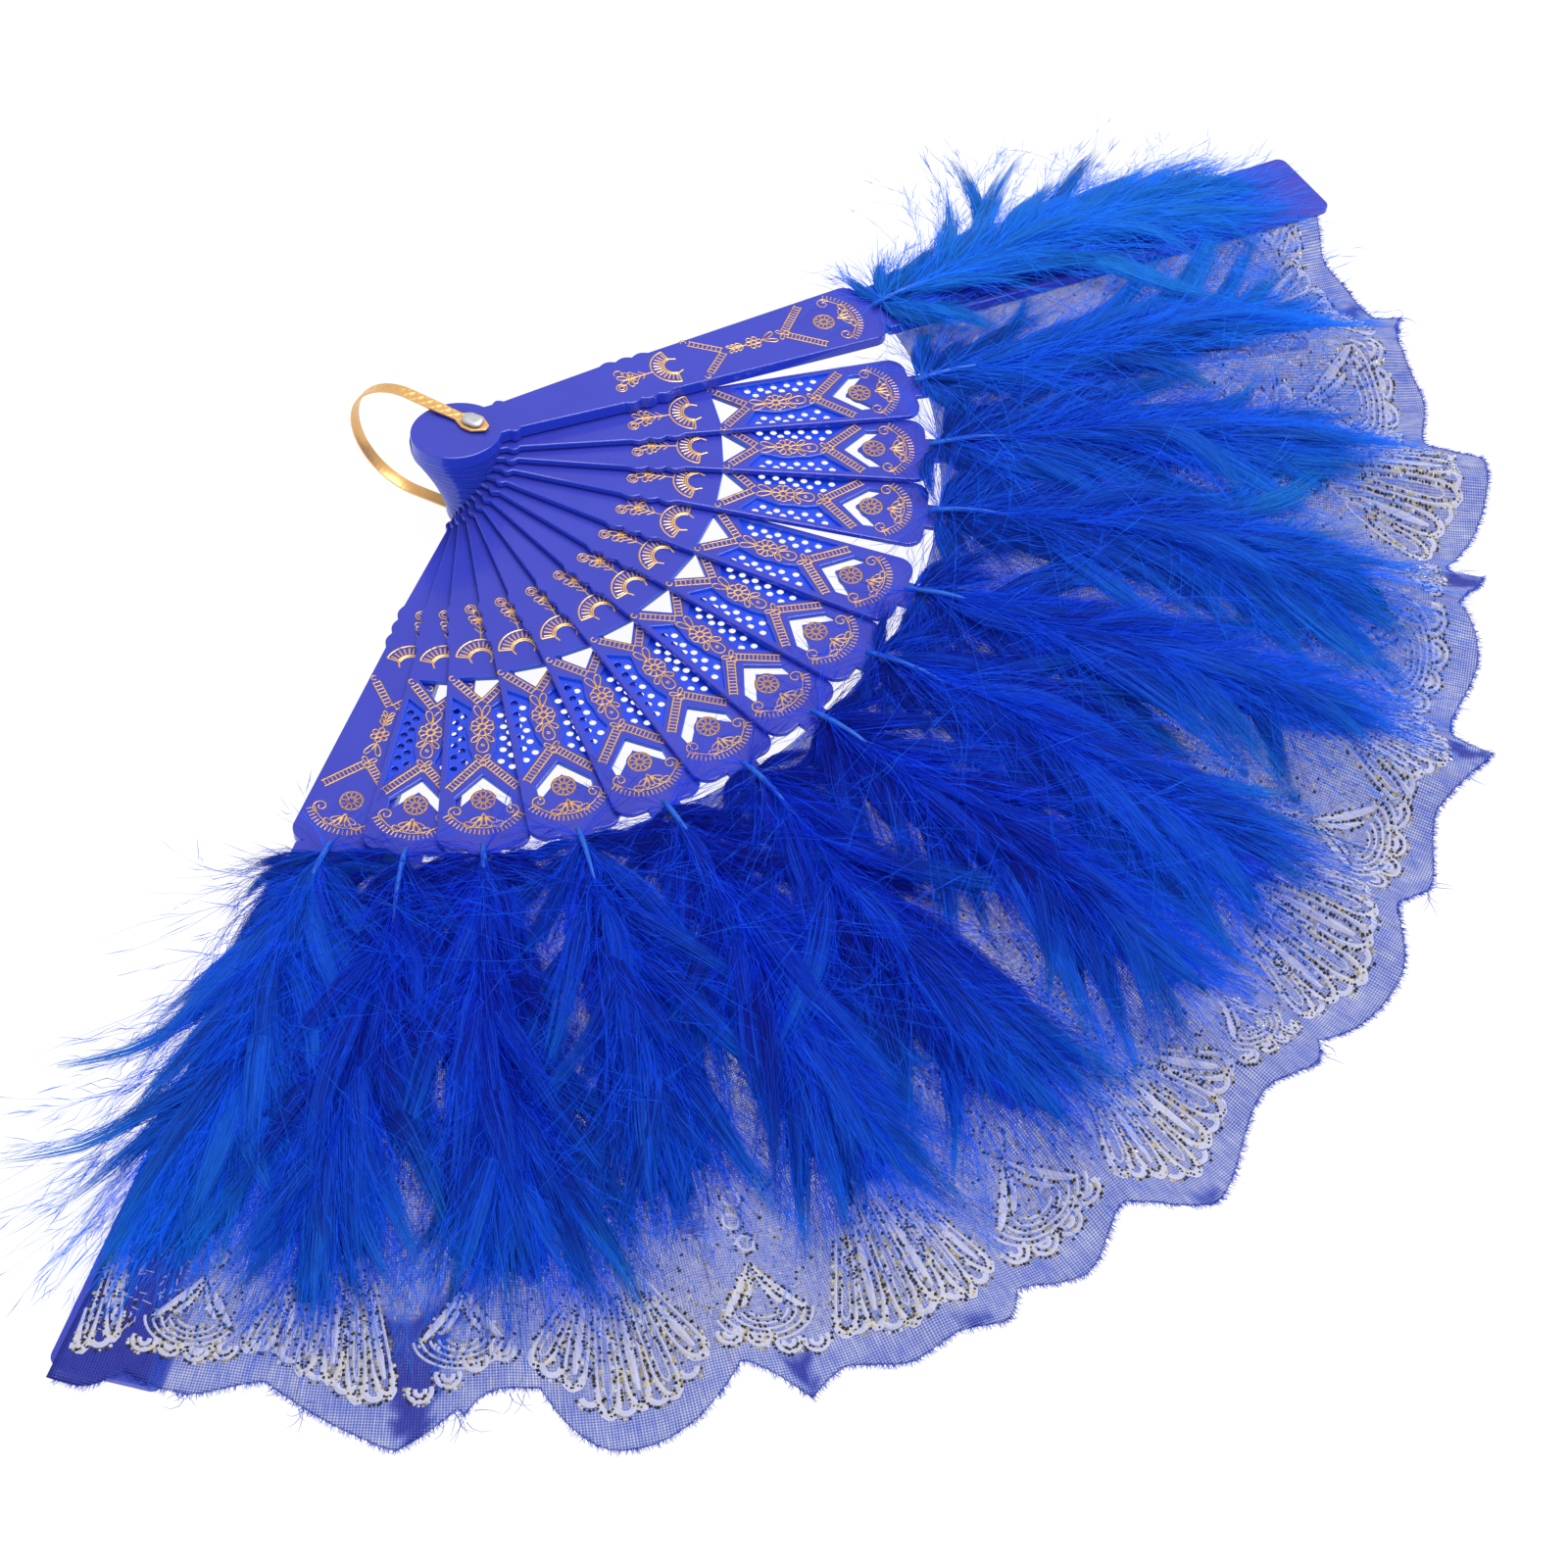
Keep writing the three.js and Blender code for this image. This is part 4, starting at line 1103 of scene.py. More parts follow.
def places_at(path, marks):
    """Places on a flat path at these lengths from its start."""
    return np.column_stack([np.interp(marks, run_along(path), path[:, axis]) for axis in (0, 1)])


def dotted(path, step, draw):
    """Places of dots along a path, a step apart, some left out and all a little off the line."""
    places = places_at(path, np.arange(0, run_along(path)[-1], step))
    places = places[draw.random(len(places)) > DOTS_LEFT_OUT]
    return places + draw.normal(0, DOTS_OFF_LINE, places.shape)


def crown_reach(degrees):
    """Reach of the pattern's outer edge: the rim evened out over three degrees, less the plain band."""
    spread = np.linspace(-1.5, 1.5, 7)
    return rim_reach(np.reshape(degrees, (-1, 1)) + spread).mean(axis=1) - PLAIN_BAND


def crown_place(centre, across, below):
    """Flat place in a motif whose middle line is x: so far across it and below the crown."""
    reach = crown_reach(centre + np.degrees(across / LEAF_SAG_END))[0] - below
    return np.array([reach * np.cos(across / reach), reach * np.sin(across / reach)])


def swelling(count, width):
    """Width of a filled leaf along its axis: nothing at the foot, full past the middle, round tip."""
    return 0.25 + width * np.sin(np.linspace(0.15, np.pi * 0.92, count)) ** 0.7


def shell(centre, half_degrees, draw):
    """Strokes and dots of one shell: nested petals that fan out from a narrow foot to the crown, in turn
    with a filled heart and with a dotted window, and a filled bump behind each two."""
    strokes, dots = [], []
    half = np.radians(half_degrees) * LEAF_SAG_END
    wide = half / SHELL_PETALS
    top = crown_place(centre, 0, 0)[0]
    for number in range(SHELL_PETALS):
        across = wide * (2 * number + 1) - half
        side = across / half
        end = crown_place(centre, across, (1.6 if number % 2 else 0) + 2.5 * side ** 2)
        foot = (top - SHELL_LENGTH + 9 * side ** 2, across * SHELL_FOOT_SHARE)
        axis = curve(foot, (foot[0] + 0.6 * (end[0] - foot[0]), across * 0.66), end)
        strokes.append((petal_loop(axis, wide - 0.8), petal_widths(len(axis), 0.8, 2.3)))
        dots.append(dotted(petal_loop(axis, wide + 0.05)[5:-5], DOT_STEP, draw))
        dots.append(dotted(petal_loop(axis[5:-1], wide - 1.85), DOT_STEP, draw))
        if number % 2:
            strokes.append((axis[5:-3], swelling(len(axis) - 8, 2.0)))
        else:
            strokes.append((petal_loop(axis[7:-3], wide - 2.3), 0.6))
    for number in range(1, SHELL_PETALS):
        across = 2 * wide * number - half
        place = crown_place(centre, across, 3.0 + 2.5 * (across / half) ** 2)
        strokes.append((arc(*place, 1.8, -85, 85, 8), 1.7))
        dots.append(dotted(arc(*place, 3.0, -75, 75, 8), DOT_STEP, draw))
    return strokes, dots


def rim_bumps(centre, bump, draw):
    """Four filled bumps side by side under the crown."""
    strokes, dots = [], []
    for across in (-3 * bump, -bump, bump, 3 * bump):
        place = crown_place(centre, across, bump + 0.5)
        strokes += [(arc(*place, radius, -110, 110, steps), 1.3)
                    for radius, steps in ((bump - 0.4, 12), (bump * 0.38, 8))]
        dots += [dotted(arc(*place, radius, -half_turn, half_turn, 12), DOT_STEP, draw)
                 for radius, half_turn in ((bump + 0.5, 95), (bump * 0.66, 90))]
    return strokes, dots


def nested_arches(middle, scale, draw):
    strokes, dots = [], []
    turn = np.radians(np.linspace(-84, 84, 20))
    for ring in range(ARCHES):
        sizes = np.array([8.4 - 1.6 * ring, 12.6 - 2.2 * ring]) * scale
        arch = sizes * np.column_stack([np.cos(turn), np.sin(turn)])
        strokes.append((arch + [middle, 0], 0.95 * scale))
        dots.append(dotted(arch * 0.91 + [middle, 0], 1.3 * DOT_STEP, draw))
    return strokes, dots


def leaf_pairs(middle, scale, draw):
    """Two pairs of leaves that meet in a V."""
    strokes, dots = [], []
    for side in SIDES:
        outer = curve((middle - 13 * scale, 0.5 * side), (middle - 7 * scale, 3.2 * side * scale),
                      (middle + scale, 10.8 * side * scale), 18)
        inner = curve((middle - 11.5 * scale, 0.4 * side), (middle - 6 * scale, side * scale),
                      (middle - 1.2 * scale, 5.6 * side * scale), 14)
        for leaf, width, border in ((outer, 2.5, 1.7), (inner, 1.9, 1.3)):
            strokes.append((leaf, swelling(len(leaf), width * scale)))
            dots.append(dotted(petal_loop(leaf, border * scale), DOT_STEP, draw))
    return strokes, dots


def ring_chain(middle, scale, draw):
    strokes, dots = [], []
    for link in range(CHAIN_RINGS):
        place = (middle - (19 + 6.5 * link) * scale, 0.8 * (-1) ** link)
        strokes.append((arc(*place, 2.1 * scale, 0, 360, 14), 0.9))
        dots.append(dotted(arc(*place, 3.1 * scale, 0, 360, 16), DOT_STEP, draw))
    return strokes, dots


def arched_motif(centre, half_degrees, draw):
    """Strokes and dots of a small motif: bumps along the crown, then arches, leaves and a chain."""
    bump = np.radians(half_degrees) * LEAF_SAG_END / 4
    scale = 4 * bump / ARCH_HALF_WIDTH
    middle = crown_place(centre, 0, bump + 8.6 * scale)[0]
    parts = [rim_bumps(centre, bump, draw), nested_arches(middle, scale, draw),
             leaf_pairs(middle, scale, draw), ring_chain(middle, scale, draw)]
    return tuple(sum(lists, []) for lists in zip(*parts))


def bars(start, end, half_width, draw):
    """Rows of short bars across a motif's middle line, with dots between them."""
    strokes, dots = [], []
    for row in np.arange(start, end, -BAR_STEP):
        for across in np.arange(-half_width, half_width, BAR_PITCH) + draw.uniform(0, 1):
            length = draw.uniform(0.6, 1.9)
            ends = np.array([[row, across], [row + draw.normal(0, 0.2), across + length]])
            strokes.append((ends, BAR_WIDTH))
        marks = np.arange(-half_width, half_width, 1.25)
        keep = draw.random(len(marks)) < 0.55
        dots.append(np.column_stack([row + 0.8 + draw.normal(0, 0.2, keep.sum()), marks[keep]]))
    return strokes, dots


def specks(draw):
    """Short floating threads all over the pattern, most of them along the cloth's radius, and dots."""
    degrees = draw.uniform(LEAF_START_DEGREES, STICK_ANGLES[-1], SPECKS)
    depth = crown_reach(degrees) - SPECKS_BELOW_CROWN - SPECKS_START
    reach = SPECKS_START + depth * draw.random(SPECKS) ** 0.7
    single = doubled(degrees, rim_reach(degrees) - reach)[0] < 0.5
    degrees, reach = degrees[single], reach[single]
    count = len(degrees)
    lean = degrees + draw.normal(0, 20, count) + np.where(draw.random(count) < 0.35, 90, 0)
    middle = polar(degrees, reach, 0 * reach)[:, :2]
    way = polar(lean, draw.uniform(0.7, 2.4, count), 0 * reach)[:, :2]
    strokes = [(np.array([place, place + step]), SPECK_WIDTH) for place, step in zip(middle, way)]
    return strokes, [middle[::3] + draw.normal(0, 1.2, middle[::3].shape)]


def lace_pattern():
    """All strokes and dots of the leaf, laid out flat in millimetres from the rivet's axis."""
    draw = np.random.default_rng(PATTERN_SEED)
    strokes, dots = specks(draw)

    def lay(motif, degrees):
        for stroke, width in motif[0]:
            strokes.append((spun(stroke, degrees), width))
        dots.extend(spun(places, degrees) for places in motif[1])

    for centre, half_degrees in SHELL_PLACES:
        foot = crown_place(centre, 0, SHELL_LENGTH - 6)[0]
        lay(shell(centre, half_degrees, draw), centre)
        lay(bars(foot, foot - BARS_LENGTH, BARS_HALF_WIDTH, draw), centre)
    for centre, half_degrees in ARCH_PLACES:
        lay(arched_motif(centre, half_degrees, draw), centre)
    return strokes, np.concatenate(dots)


def spun(path, degrees):
    """Flat path turned about the rivet's axis."""
    return turned(np.column_stack([path, np.zeros(len(path))]), degrees)[:, :2]


def panel_of(places):
    """Panel of the leaf that each flat place is in, from 1 at the back guard, or 0 off the cloth."""
    degrees = np.degrees(np.arctan2(places[:, 1], places[:, 0]))
    panels = np.clip(np.searchsorted(STICK_ANGLES, degrees), 1, LAST)
    return np.where(degrees < LEAF_START_DEGREES + CUT_MARGIN_DEGREES, 0, panels)


def cut_at_sticks(strokes):
    """Strokes cut where they pass from one panel to the next, by panel."""
    by_panel = {panel: [] for panel in range(1, LAST + 1)}
    for path, width in strokes:
        panels = panel_of(path)
        width = np.broadcast_to(width, len(path))
        edges = np.concatenate([[0], np.flatnonzero(np.diff(panels)) + 1, [len(path)]])
        for start, end in zip(edges[:-1], edges[1:]):
            end = min(end + 1, len(path))
            if end - start > 1 and panels[start]:
                by_panel[panels[start]].append((path[start:end], width[start:end]))
    return by_panel


def on_cloth(points):
    """Flat points (x, y, lift) laid on the cloth."""
    degrees = np.degrees(np.arctan2(points[:, 1], points[:, 0]))
    reach = np.hypot(points[:, 0], points[:, 1])
    level = cloth_level(degrees, np.minimum(reach, rim_reach(degrees)))
    return np.column_stack([points[:, :2], level + CLOTH_THICKNESS + points[:, 2]])


def dot_mesh(places, draw):
    """Glitter dots: low four-sided pyramids, each turned by chance. Points, triangles and quads."""
    turn = draw.uniform(0, np.pi, len(places))[:, None] + np.arange(4) * np.pi / 2
    radius = DOT_RADIUS * draw.uniform(0.7, 1.2, len(places))[:, None]
    points = np.empty((len(places), 5, 3))
    points[:, :4, 0] = places[:, :1] + radius * np.cos(turn)
    points[:, :4, 1] = places[:, 1:] + radius * np.sin(turn)
    points[:, :4, 2] = LACE_RISE * 0.5
    points[:, 4] = np.column_stack([places, np.full(len(places), DOT_HEIGHT)])
    first = np.arange(len(places))[:, None, None] * 5
    sides = first + np.array([[0, 1, 4], [1, 2, 4], [2, 3, 4], [3, 0, 4]])
    floors = first[:, 0] + np.array([3, 2, 1, 0])
    return points.reshape(-1, 3), sides.reshape(-1, 3), floors


def woven_white_material():
    """Dense white weave with a faint twill and a lilac cast from the blue ground."""
    finish = Finish("woven_white")
    twill = finish.noise(finish.stretched(finish.place(), (2600, 500, 400)), 1.0)
    tone = finish.mix(twill, colour(166, 168, 198), colour(202, 202, 222))
    return finish.surface(finish.gloss(tone, 0.55, Normal=finish.bump(twill, 0.00012)))


def glitter_material():
    """Glitter dots: dark olive, gold and a few white ones, each with its own tone."""
    finish = Finish("glitter")
    stops = [(0.0, colour(28, 27, 22)), (0.5, colour(70, 64, 38)), (0.58, colour(176, 158, 92)),
             (0.84, colour(222, 208, 150)), (0.92, colour(236, 234, 226))]
    tone = finish.node("ShaderNodeValToRGB", {"stops": stops}, {"Fac": finish.noted("tone")})
    return finish.surface(finish.gloss(tone, 0.3, Metallic=0.45))


def thread_material():
    finish = Finish("blue_thread")
    tone = finish.mix(finish.noise(finish.place(), 300.0), colour(22, 40, 160), colour(70, 104, 226))
    return finish.surface(finish.gloss(tone, 0.5))


woven_white = woven_white_material()
glitter = glitter_material()
blue_thread = thread_material()


def tubes(paths, radii):
    """Closed three-sided tubes along paths, an array of strands by steps by xyz, with a radius at each
    step. Each ring stands square to the path. Returns points, quads and end triangles."""
    count, steps = paths.shape[:2]
    across, upright = square_to(unit(np.gradient(paths, axis=1)), [0.31, 0.17, 0.93])
    turn = np.arange(3) * 2 * np.pi / 3
    ring = across[:, :, None] * np.cos(turn)[:, None] + upright[:, :, None] * np.sin(turn)[:, None]
    points = paths[:, :, None] + ring * np.broadcast_to(radii, (count, steps))[:, :, None, None]
    first = np.arange(count)[:, None, None] * steps * 3
    quads = (first + grid_faces(steps, 3, closed=True)).reshape(-1, 4)
    ends = (first + end_caps(steps, 3)).reshape(-1, 3)
    return points.reshape(-1, 3), quads, ends


def frayed_threads(draw):
    """Loose threads of the cut rim: short everywhere, and a few bunches of long ones."""
    bunches = draw.uniform(STICK_ANGLES[0], STICK_ANGLES[-1] - 4, FRAYED_BUNCHES)
    long_ones = (bunches[:, None] + draw.normal(0, 0.5, (FRAYED_BUNCHES, THREADS_IN_BUNCH))).ravel()
    short_ones = draw.uniform(STICK_ANGLES[0] - 2, STICK_ANGLES[-1] - 2, SHORT_THREADS)
    degrees = np.concatenate([long_ones, short_ones])
    length = np.concatenate([draw.uniform(1.2, 6, len(long_ones)), draw.uniform(0.5, 1.5, SHORT_THREADS)])
    lean = np.concatenate([draw.normal(0, 42, len(long_ones)), draw.normal(0, 24, SHORT_THREADS)])
    curl = draw.normal(0, 70, len(degrees)) * np.minimum(length / 4, 1)
    share = np.linspace(0, 1, THREAD_STEPS)
    heading = np.radians((degrees + lean)[:, None] + curl[:, None] * share)
    step = (length / (THREAD_STEPS - 1))[:, None]
    reach = rim_reach(degrees) - 0.5
    root = polar(degrees, reach, cloth_level(degrees, reach) + CLOTH_THICKNESS / 2)
    x = root[:, :1] + np.cumsum(np.cos(heading) * step, axis=1)
    y = root[:, 1:2] + np.cumsum(np.sin(heading) * step, axis=1)
    lift = draw.uniform(-0.1, 0.5, len(degrees))[:, None] * share * length[:, None] * 0.3
    z = np.maximum(root[:, 2:] + lift, LOWEST_THREAD)
    return np.stack([x, y, z], axis=-1), degrees


def note_parts(piece, name, starts, values):
    """Number kept at the points of some of the meshes that a piece was joined from, and 0 elsewhere.
    Values go by the mesh's place in the row."""
    kept = np.zeros(starts[-1])
    for mesh, numbers in values.items():
        kept[starts[mesh]:starts[mesh + 1]] = numbers
    note(piece, name, kept)


def make_lace(panel, strokes, places, threads):
    """The pattern and the loose threads of one panel, as one piece in three finishes."""
    draw = np.random.default_rng(GLITTER_SEED + panel)
    ridge_points, *ridge_faces = ridges(*zip(*strokes), LACE_RISE, LACE_SINK)
    dot_points, *dot_faces = dot_mesh(places, draw)
    radii = np.linspace(THREAD_FOOT_RADIUS, THREAD_TIP_RADIUS, THREAD_STEPS)
    points, faces, starts = joined((on_cloth(ridge_points), *ridge_faces),
                                   (on_cloth(dot_points), *dot_faces), tubes(threads, radii))
    kinds = np.repeat([0, 0, 1, 1, 2, 2], [len(group) for group in faces])
    piece = make_piece(f"leaf_lace_{panel:02d}", points, faces, [woven_white, glitter, blue_thread],
                       kinds, smooth=False)
    note_parts(piece, "tone", starts, {1: np.repeat(draw.random(len(places)), 5)})
    fold(piece, panel)
    return piece


pattern_strokes, pattern_dots = lace_pattern()
pattern_by_panel = cut_at_sticks(pattern_strokes)
dot_panels = panel_of(pattern_dots)
threads, thread_degrees = frayed_threads(np.random.default_rng(THREAD_SEED))
thread_panels = np.clip(np.searchsorted(STICK_ANGLES, thread_degrees), 1, LAST)
for panel in range(1, LAST + 1):
    cloth, flat, cut = make_leaf_panel(panel)
    lace = make_lace(panel, pattern_by_panel[panel], pattern_dots[dot_panels == panel],
                     threads[thread_panels == panel])


# Plumes: one dyed marabou feather on each stick, its bare quill glued to the blade's shoulder. Long
# soft barbs leave the shaft in locks, each barb carries downy barbules, and a core of down fills them, deep
# blue as painted shade in the gaps.
PLUME_REACH = [236, 242, 244, 226, 242, 244, 242, 242, 246, 243, 241, 247, 247]
PLUME_SWAY = [0, 0, 1.5, -1, 0, -1.5, 1, -1, 2.5, -1, 3.5, 4, 1]
PLUME_WIND = [11, 2, -3, 0, 4, -3, 0, 5, -4, 4, -3, 0, 7]
# Painted light: how far each whole plume is lightened towards azure.
PLUME_PAINTED_AZURE = [0.35, 0.05, 0, 0.1, 0, 0, 0, 0.1, 0.15, 0.3, 0.35, 0.55, 0.95]
PLUME_START, PLUME_SEED = 116, 500
LOCKS, BARBS_IN_LOCK, BASE_LOCKS = 56, 5, 12
STRAY_BARBS, FOOT_STRAYS, VEIL_BARBS, VEIL_PAST_LOCKS = 130, 16, 190, 7
LOCK_STEPS, LOCK_SIDES, LOCK_HALF_WIDTH, LOCK_FLATNESS = 13, 8, 3.8, 0.32
BARB_STEPS, BARB_RADIUS = 9, 0.085
LOCK_LENGTH, BASE_LOCK_LENGTH, STRAY_LENGTH = 60, 23, 52
BARBULES, BARBULE_LENGTH, BARBULE_RADIUS = 8800, 15, 0.085
PLUME_HEIGHT, BARB_LIFT, PLUME_GAP, GUARD_EDGE_SLOPE = 8, 0.3, 0.3, 12
FLUFF_HANG, FLUFF_HANG_START, FLUFF_HANG_END = 5, 9, 26
CORE_ROWS, CORE_COLUMNS, CORE_HALF_WIDTH, CORE_HEIGHT = 44, 13, 13, 2.6
QUILL_START, QUILL_PAST_END, QUILL_STEPS, QUILL_SIDES = 113.4, 45, 24, 10
QUILL_TIP_RADIUS, QUILL_FOOT_SWELL = 0.2, 0.55
# PLUME_KEPT_WHEN_SHUT is a share of a plume's height for when the fan shuts. From a near and a far reach on
# the blade's top squash_when_shut finds the line square to it, and it gives the plume its own mesh.
PLUME_KEPT_WHEN_SHUT, SQUASH_REACHES = 0.1, (120.0, 180.0, 240.0)


def plume_floor(index, degrees, reach):
    """Height that a plume lies on: the leaf, or the front guard's top, which its fluff hangs over."""
    if index < LAST:
        over = np.radians(np.maximum(STICK_ANGLES[0] - degrees, 0)) * reach - GUARD_END_HALF_WIDTH
        ground = 1 - smooth(over, 0, GUARD_EDGE_SLOPE)
        return cloth_level(degrees, reach) * ground + CLOTH_THICKNESS + PLUME_GAP
    across = np.abs(np.radians(degrees - STICK_ANGLES[LAST])) * reach
    top = stick_levels(LAST, reach)[1]
    return top + PLUME_GAP - FLUFF_HANG * smooth(across, FLUFF_HANG_START, FLUFF_HANG_END)


def lock_settings(index, draw):
    """Place on the shaft, lean, curl, rise and length of each lock. The first locks fan out at the
    foot, the rest lean less and less towards the tip, and those that lean least rise most."""
    place = np.concatenate([draw.uniform(-0.02, 0.08, BASE_LOCKS),
                            (np.arange(LOCKS) + draw.random(LOCKS)) / LOCKS])
    foot = np.arange(len(place)) < BASE_LOCKS
    side = np.where(foot, np.where(np.arange(len(place)) % 2, 1, -1), 1) * np.concatenate(
        [np.linspace(0.3, 1, BASE_LOCKS), draw.uniform(-1, 1, LOCKS)])
    lean = side * np.where(foot, 112, 47 - 20 * place) + PLUME_WIND[index] + draw.normal(0, 11, len(place))
    curl = draw.normal(0, 25, len(place)) - 0.58 * lean
    rise = (1 - 0.6 * np.abs(side)) * draw.uniform(0.4, 1.1, len(place)) * np.where(foot, 0.5, 1)
    length = np.where(foot, BASE_LOCK_LENGTH, LOCK_LENGTH * (0.7 + 0.3 * np.sin(np.pi * place)))
    return place, lean, curl, rise, length * draw.uniform(0.7, 1.15, len(place))


def root_reach(place, reach):
    """Reach of a place on the shaft, from 0 at the plume's foot to 1 a little before its end."""
    return PLUME_START + (reach - 0.8 * LOCK_LENGTH - PLUME_START) * place


def barb_curves(place, lean, curl, rise, length, reach, steps):
    """Curves that leave the shaft with a lean in degrees, turn by a curl and rise in a low arch.
    Strands by steps by (x, y, height over what is below)."""
    share = np.linspace(0, 1, steps)
    heading = np.radians(lean[:, None] + curl[:, None] * share ** 0.8)
    step = (length / (steps - 1))[:, None] * (share > 0)
    x = root_reach(place, reach)[:, None] + np.cumsum(np.cos(heading) * step, axis=1)
    y = np.cumsum(np.sin(heading) * step, axis=1)
    fullness = 0.5 + 0.5 * np.sin(np.pi * np.clip(place, 0.08, 0.9))
    arch = np.sin(np.pi * (0.12 + 0.8 * share)) * fullness[:, None]
    return np.stack([x, y, PLUME_HEIGHT * rise[:, None] * arch + BARB_LIFT], axis=-1)


def lock_barbs(settings, reach, draw):
    """Barbs of all locks, which start near their lock's curve and close in on it, and their lengths."""
    spines = barb_curves(*settings, reach, BARB_STEPS)
    place, lean, curl, rise, length = (np.repeat(value, BARBS_IN_LOCK) for value in settings)
    count = len(place)
    own = (np.clip(place + draw.normal(0, 0.028, count), 0, 1), lean + draw.normal(0, 11, count),
           curl + draw.normal(0, 12, count), rise * draw.uniform(0.45, 1.25, count),
           length * draw.uniform(0.72, 1.08, count))
    pull = 0.55 * np.linspace(0, 1, BARB_STEPS)[:, None] ** 1.4
    barbs = barb_curves(*own, reach, BARB_STEPS) * (1 - pull)
    return barbs + np.repeat(spines, BARBS_IN_LOCK, axis=0) * pull, own[-1]


def stray_barbs(reach, draw):
    """Barbs on top that follow no lock. The first of them stand out sideways at the foot."""
    at_foot = np.arange(STRAY_BARBS) < FOOT_STRAYS
    lean = draw.normal(0, 34, STRAY_BARBS)
    lean = np.where(at_foot, np.sign(lean) * draw.uniform(70, 150, STRAY_BARBS), lean)
    return barb_curves(draw.random(STRAY_BARBS) * ~at_foot, lean, draw.normal(0, 34, STRAY_BARBS),
                       draw.uniform(0.9, 1.5, STRAY_BARBS) - 0.6 * at_foot,
                       STRAY_LENGTH * draw.uniform(0.5, 1.1, STRAY_BARBS) * (1 - 0.55 * at_foot),
                       reach, BARB_STEPS)


def veil_barbs(reach, draw):
    """Thin low barbs that reach past the locks' tips and lie over the leaf."""
    lean, curl = draw.normal(0, (13, 16), (VEIL_BARBS, 2)).T
    place = draw.uniform(0.5, 1, VEIL_BARBS)
    to_end = reach + VEIL_PAST_LOCKS - root_reach(place, reach)
    return barb_curves(place, lean, curl, draw.uniform(0, 0.5, VEIL_BARBS),
                       to_end * draw.uniform(0.72, 1.0, VEIL_BARBS), reach, BARB_STEPS)


def barb_paths(index, settings, draw):
    """All barbs of a plume, the lock that each belongs to or -1, and its share of the barbules."""
    reach = PLUME_REACH[index]
    barbs, length = lock_barbs(settings, reach, draw)
    strays = stray_barbs(reach, draw)
    veil = veil_barbs(reach, draw)
    loose = STRAY_BARBS + VEIL_BARBS
    lock = np.concatenate([np.repeat(np.arange(LOCKS + BASE_LOCKS), BARBS_IN_LOCK), np.full(loose, -1)])
    weight = np.concatenate([length, np.full(loose, 0.12 * STRAY_LENGTH)])
    return np.concatenate([barbs, strays, veil]), lock, weight / weight.sum()


def lock_bodies(settings, index):
    """Soft locks: lens-shaped bodies along the locks' curves, narrow at the foot and widest in the
    middle. Returns points, sides, ends, and for each point its place across and along, and its lock."""
    length = settings[-1]
    spines = barb_curves(*settings, PLUME_REACH[index], LOCK_STEPS)
    count = len(length)
    share = np.linspace(0, 1, LOCK_STEPS)
    left = left_of(unit(np.gradient(spines[..., :2], axis=1)))
    turn = np.linspace(0, 2 * np.pi, LOCK_SIDES, endpoint=False)
    half = LOCK_HALF_WIDTH * (length / LOCK_LENGTH) ** 0.5
    profile = 0.03 + smooth(share, 0, 0.4) * (1 - 0.6 * share ** 2)
    width = (half[:, None] * profile)[..., None]
    flat = spines[:, :, None, :2] + left[:, :, None] * (width * np.cos(turn))[..., None]
    lift = np.maximum(spines[:, :, None, 2] + width * LOCK_FLATNESS * np.sin(turn), 0.15)
    laid = on_stick_cloth(np.concatenate([flat, lift[..., None]], axis=-1), index)
    first = np.arange(count)[:, None, None] * LOCK_STEPS * LOCK_SIDES
    quads = (first + grid_faces(LOCK_STEPS, LOCK_SIDES, closed=True)).reshape(-1, 4)
    ends = (first + end_caps(LOCK_STEPS, LOCK_SIDES)).reshape(-1, LOCK_SIDES)
    shape = (count, LOCK_STEPS, LOCK_SIDES)
    across = np.broadcast_to(np.cos(turn), shape).ravel()
    along = np.broadcast_to(share[:, None], shape).ravel()
    owner = np.repeat(np.arange(count), LOCK_STEPS * LOCK_SIDES)
    return laid.reshape(-1, 3), quads, ends, across, along, owner


def on_stick_cloth(points, index):
    """Points (x, y, height) of a plume, swayed sideways along the stick and laid on what is below."""
    x, y, height = points[..., 0], points[..., 1], points[..., 2]
    y = y + 2.2 * np.sin(0.045 * x + 2.1 * index) * smooth(x, PLUME_START, 170)
    share = smooth(x, PLUME_START, 240)
    degrees = STICK_ANGLES[index] + PLUME_SWAY[index] * share + np.degrees(np.arctan2(y, x))
    reach = np.hypot(x, y)
    return polar(degrees, reach, plume_floor(index, degrees, reach) + height)


def hairs(roots, bends, tips, radius):
    """Closed fine hairs: pointed at the root and the tip, with a small triangle about the bend."""
    across, upright = square_to(unit(tips - roots), [0.23, 0.11, 0.97])
    points = np.empty((len(roots), 5, 3))
    points[:, 0], points[:, 4] = roots, tips
    for corner in range(3):
        turn = corner * 2 * np.pi / 3
        ring = across * np.cos(turn) + upright * np.sin(turn)
        points[:, corner + 1] = bends + ring * np.reshape(radius, (-1, 1))
    first = np.arange(len(roots))[:, None, None] * 5
    faces = first + np.array([[0, 2, 1], [0, 3, 2], [0, 1, 3], [4, 1, 2], [4, 2, 3], [4, 3, 1]])
    return points.reshape(-1, 3), faces.reshape(-1, 3)


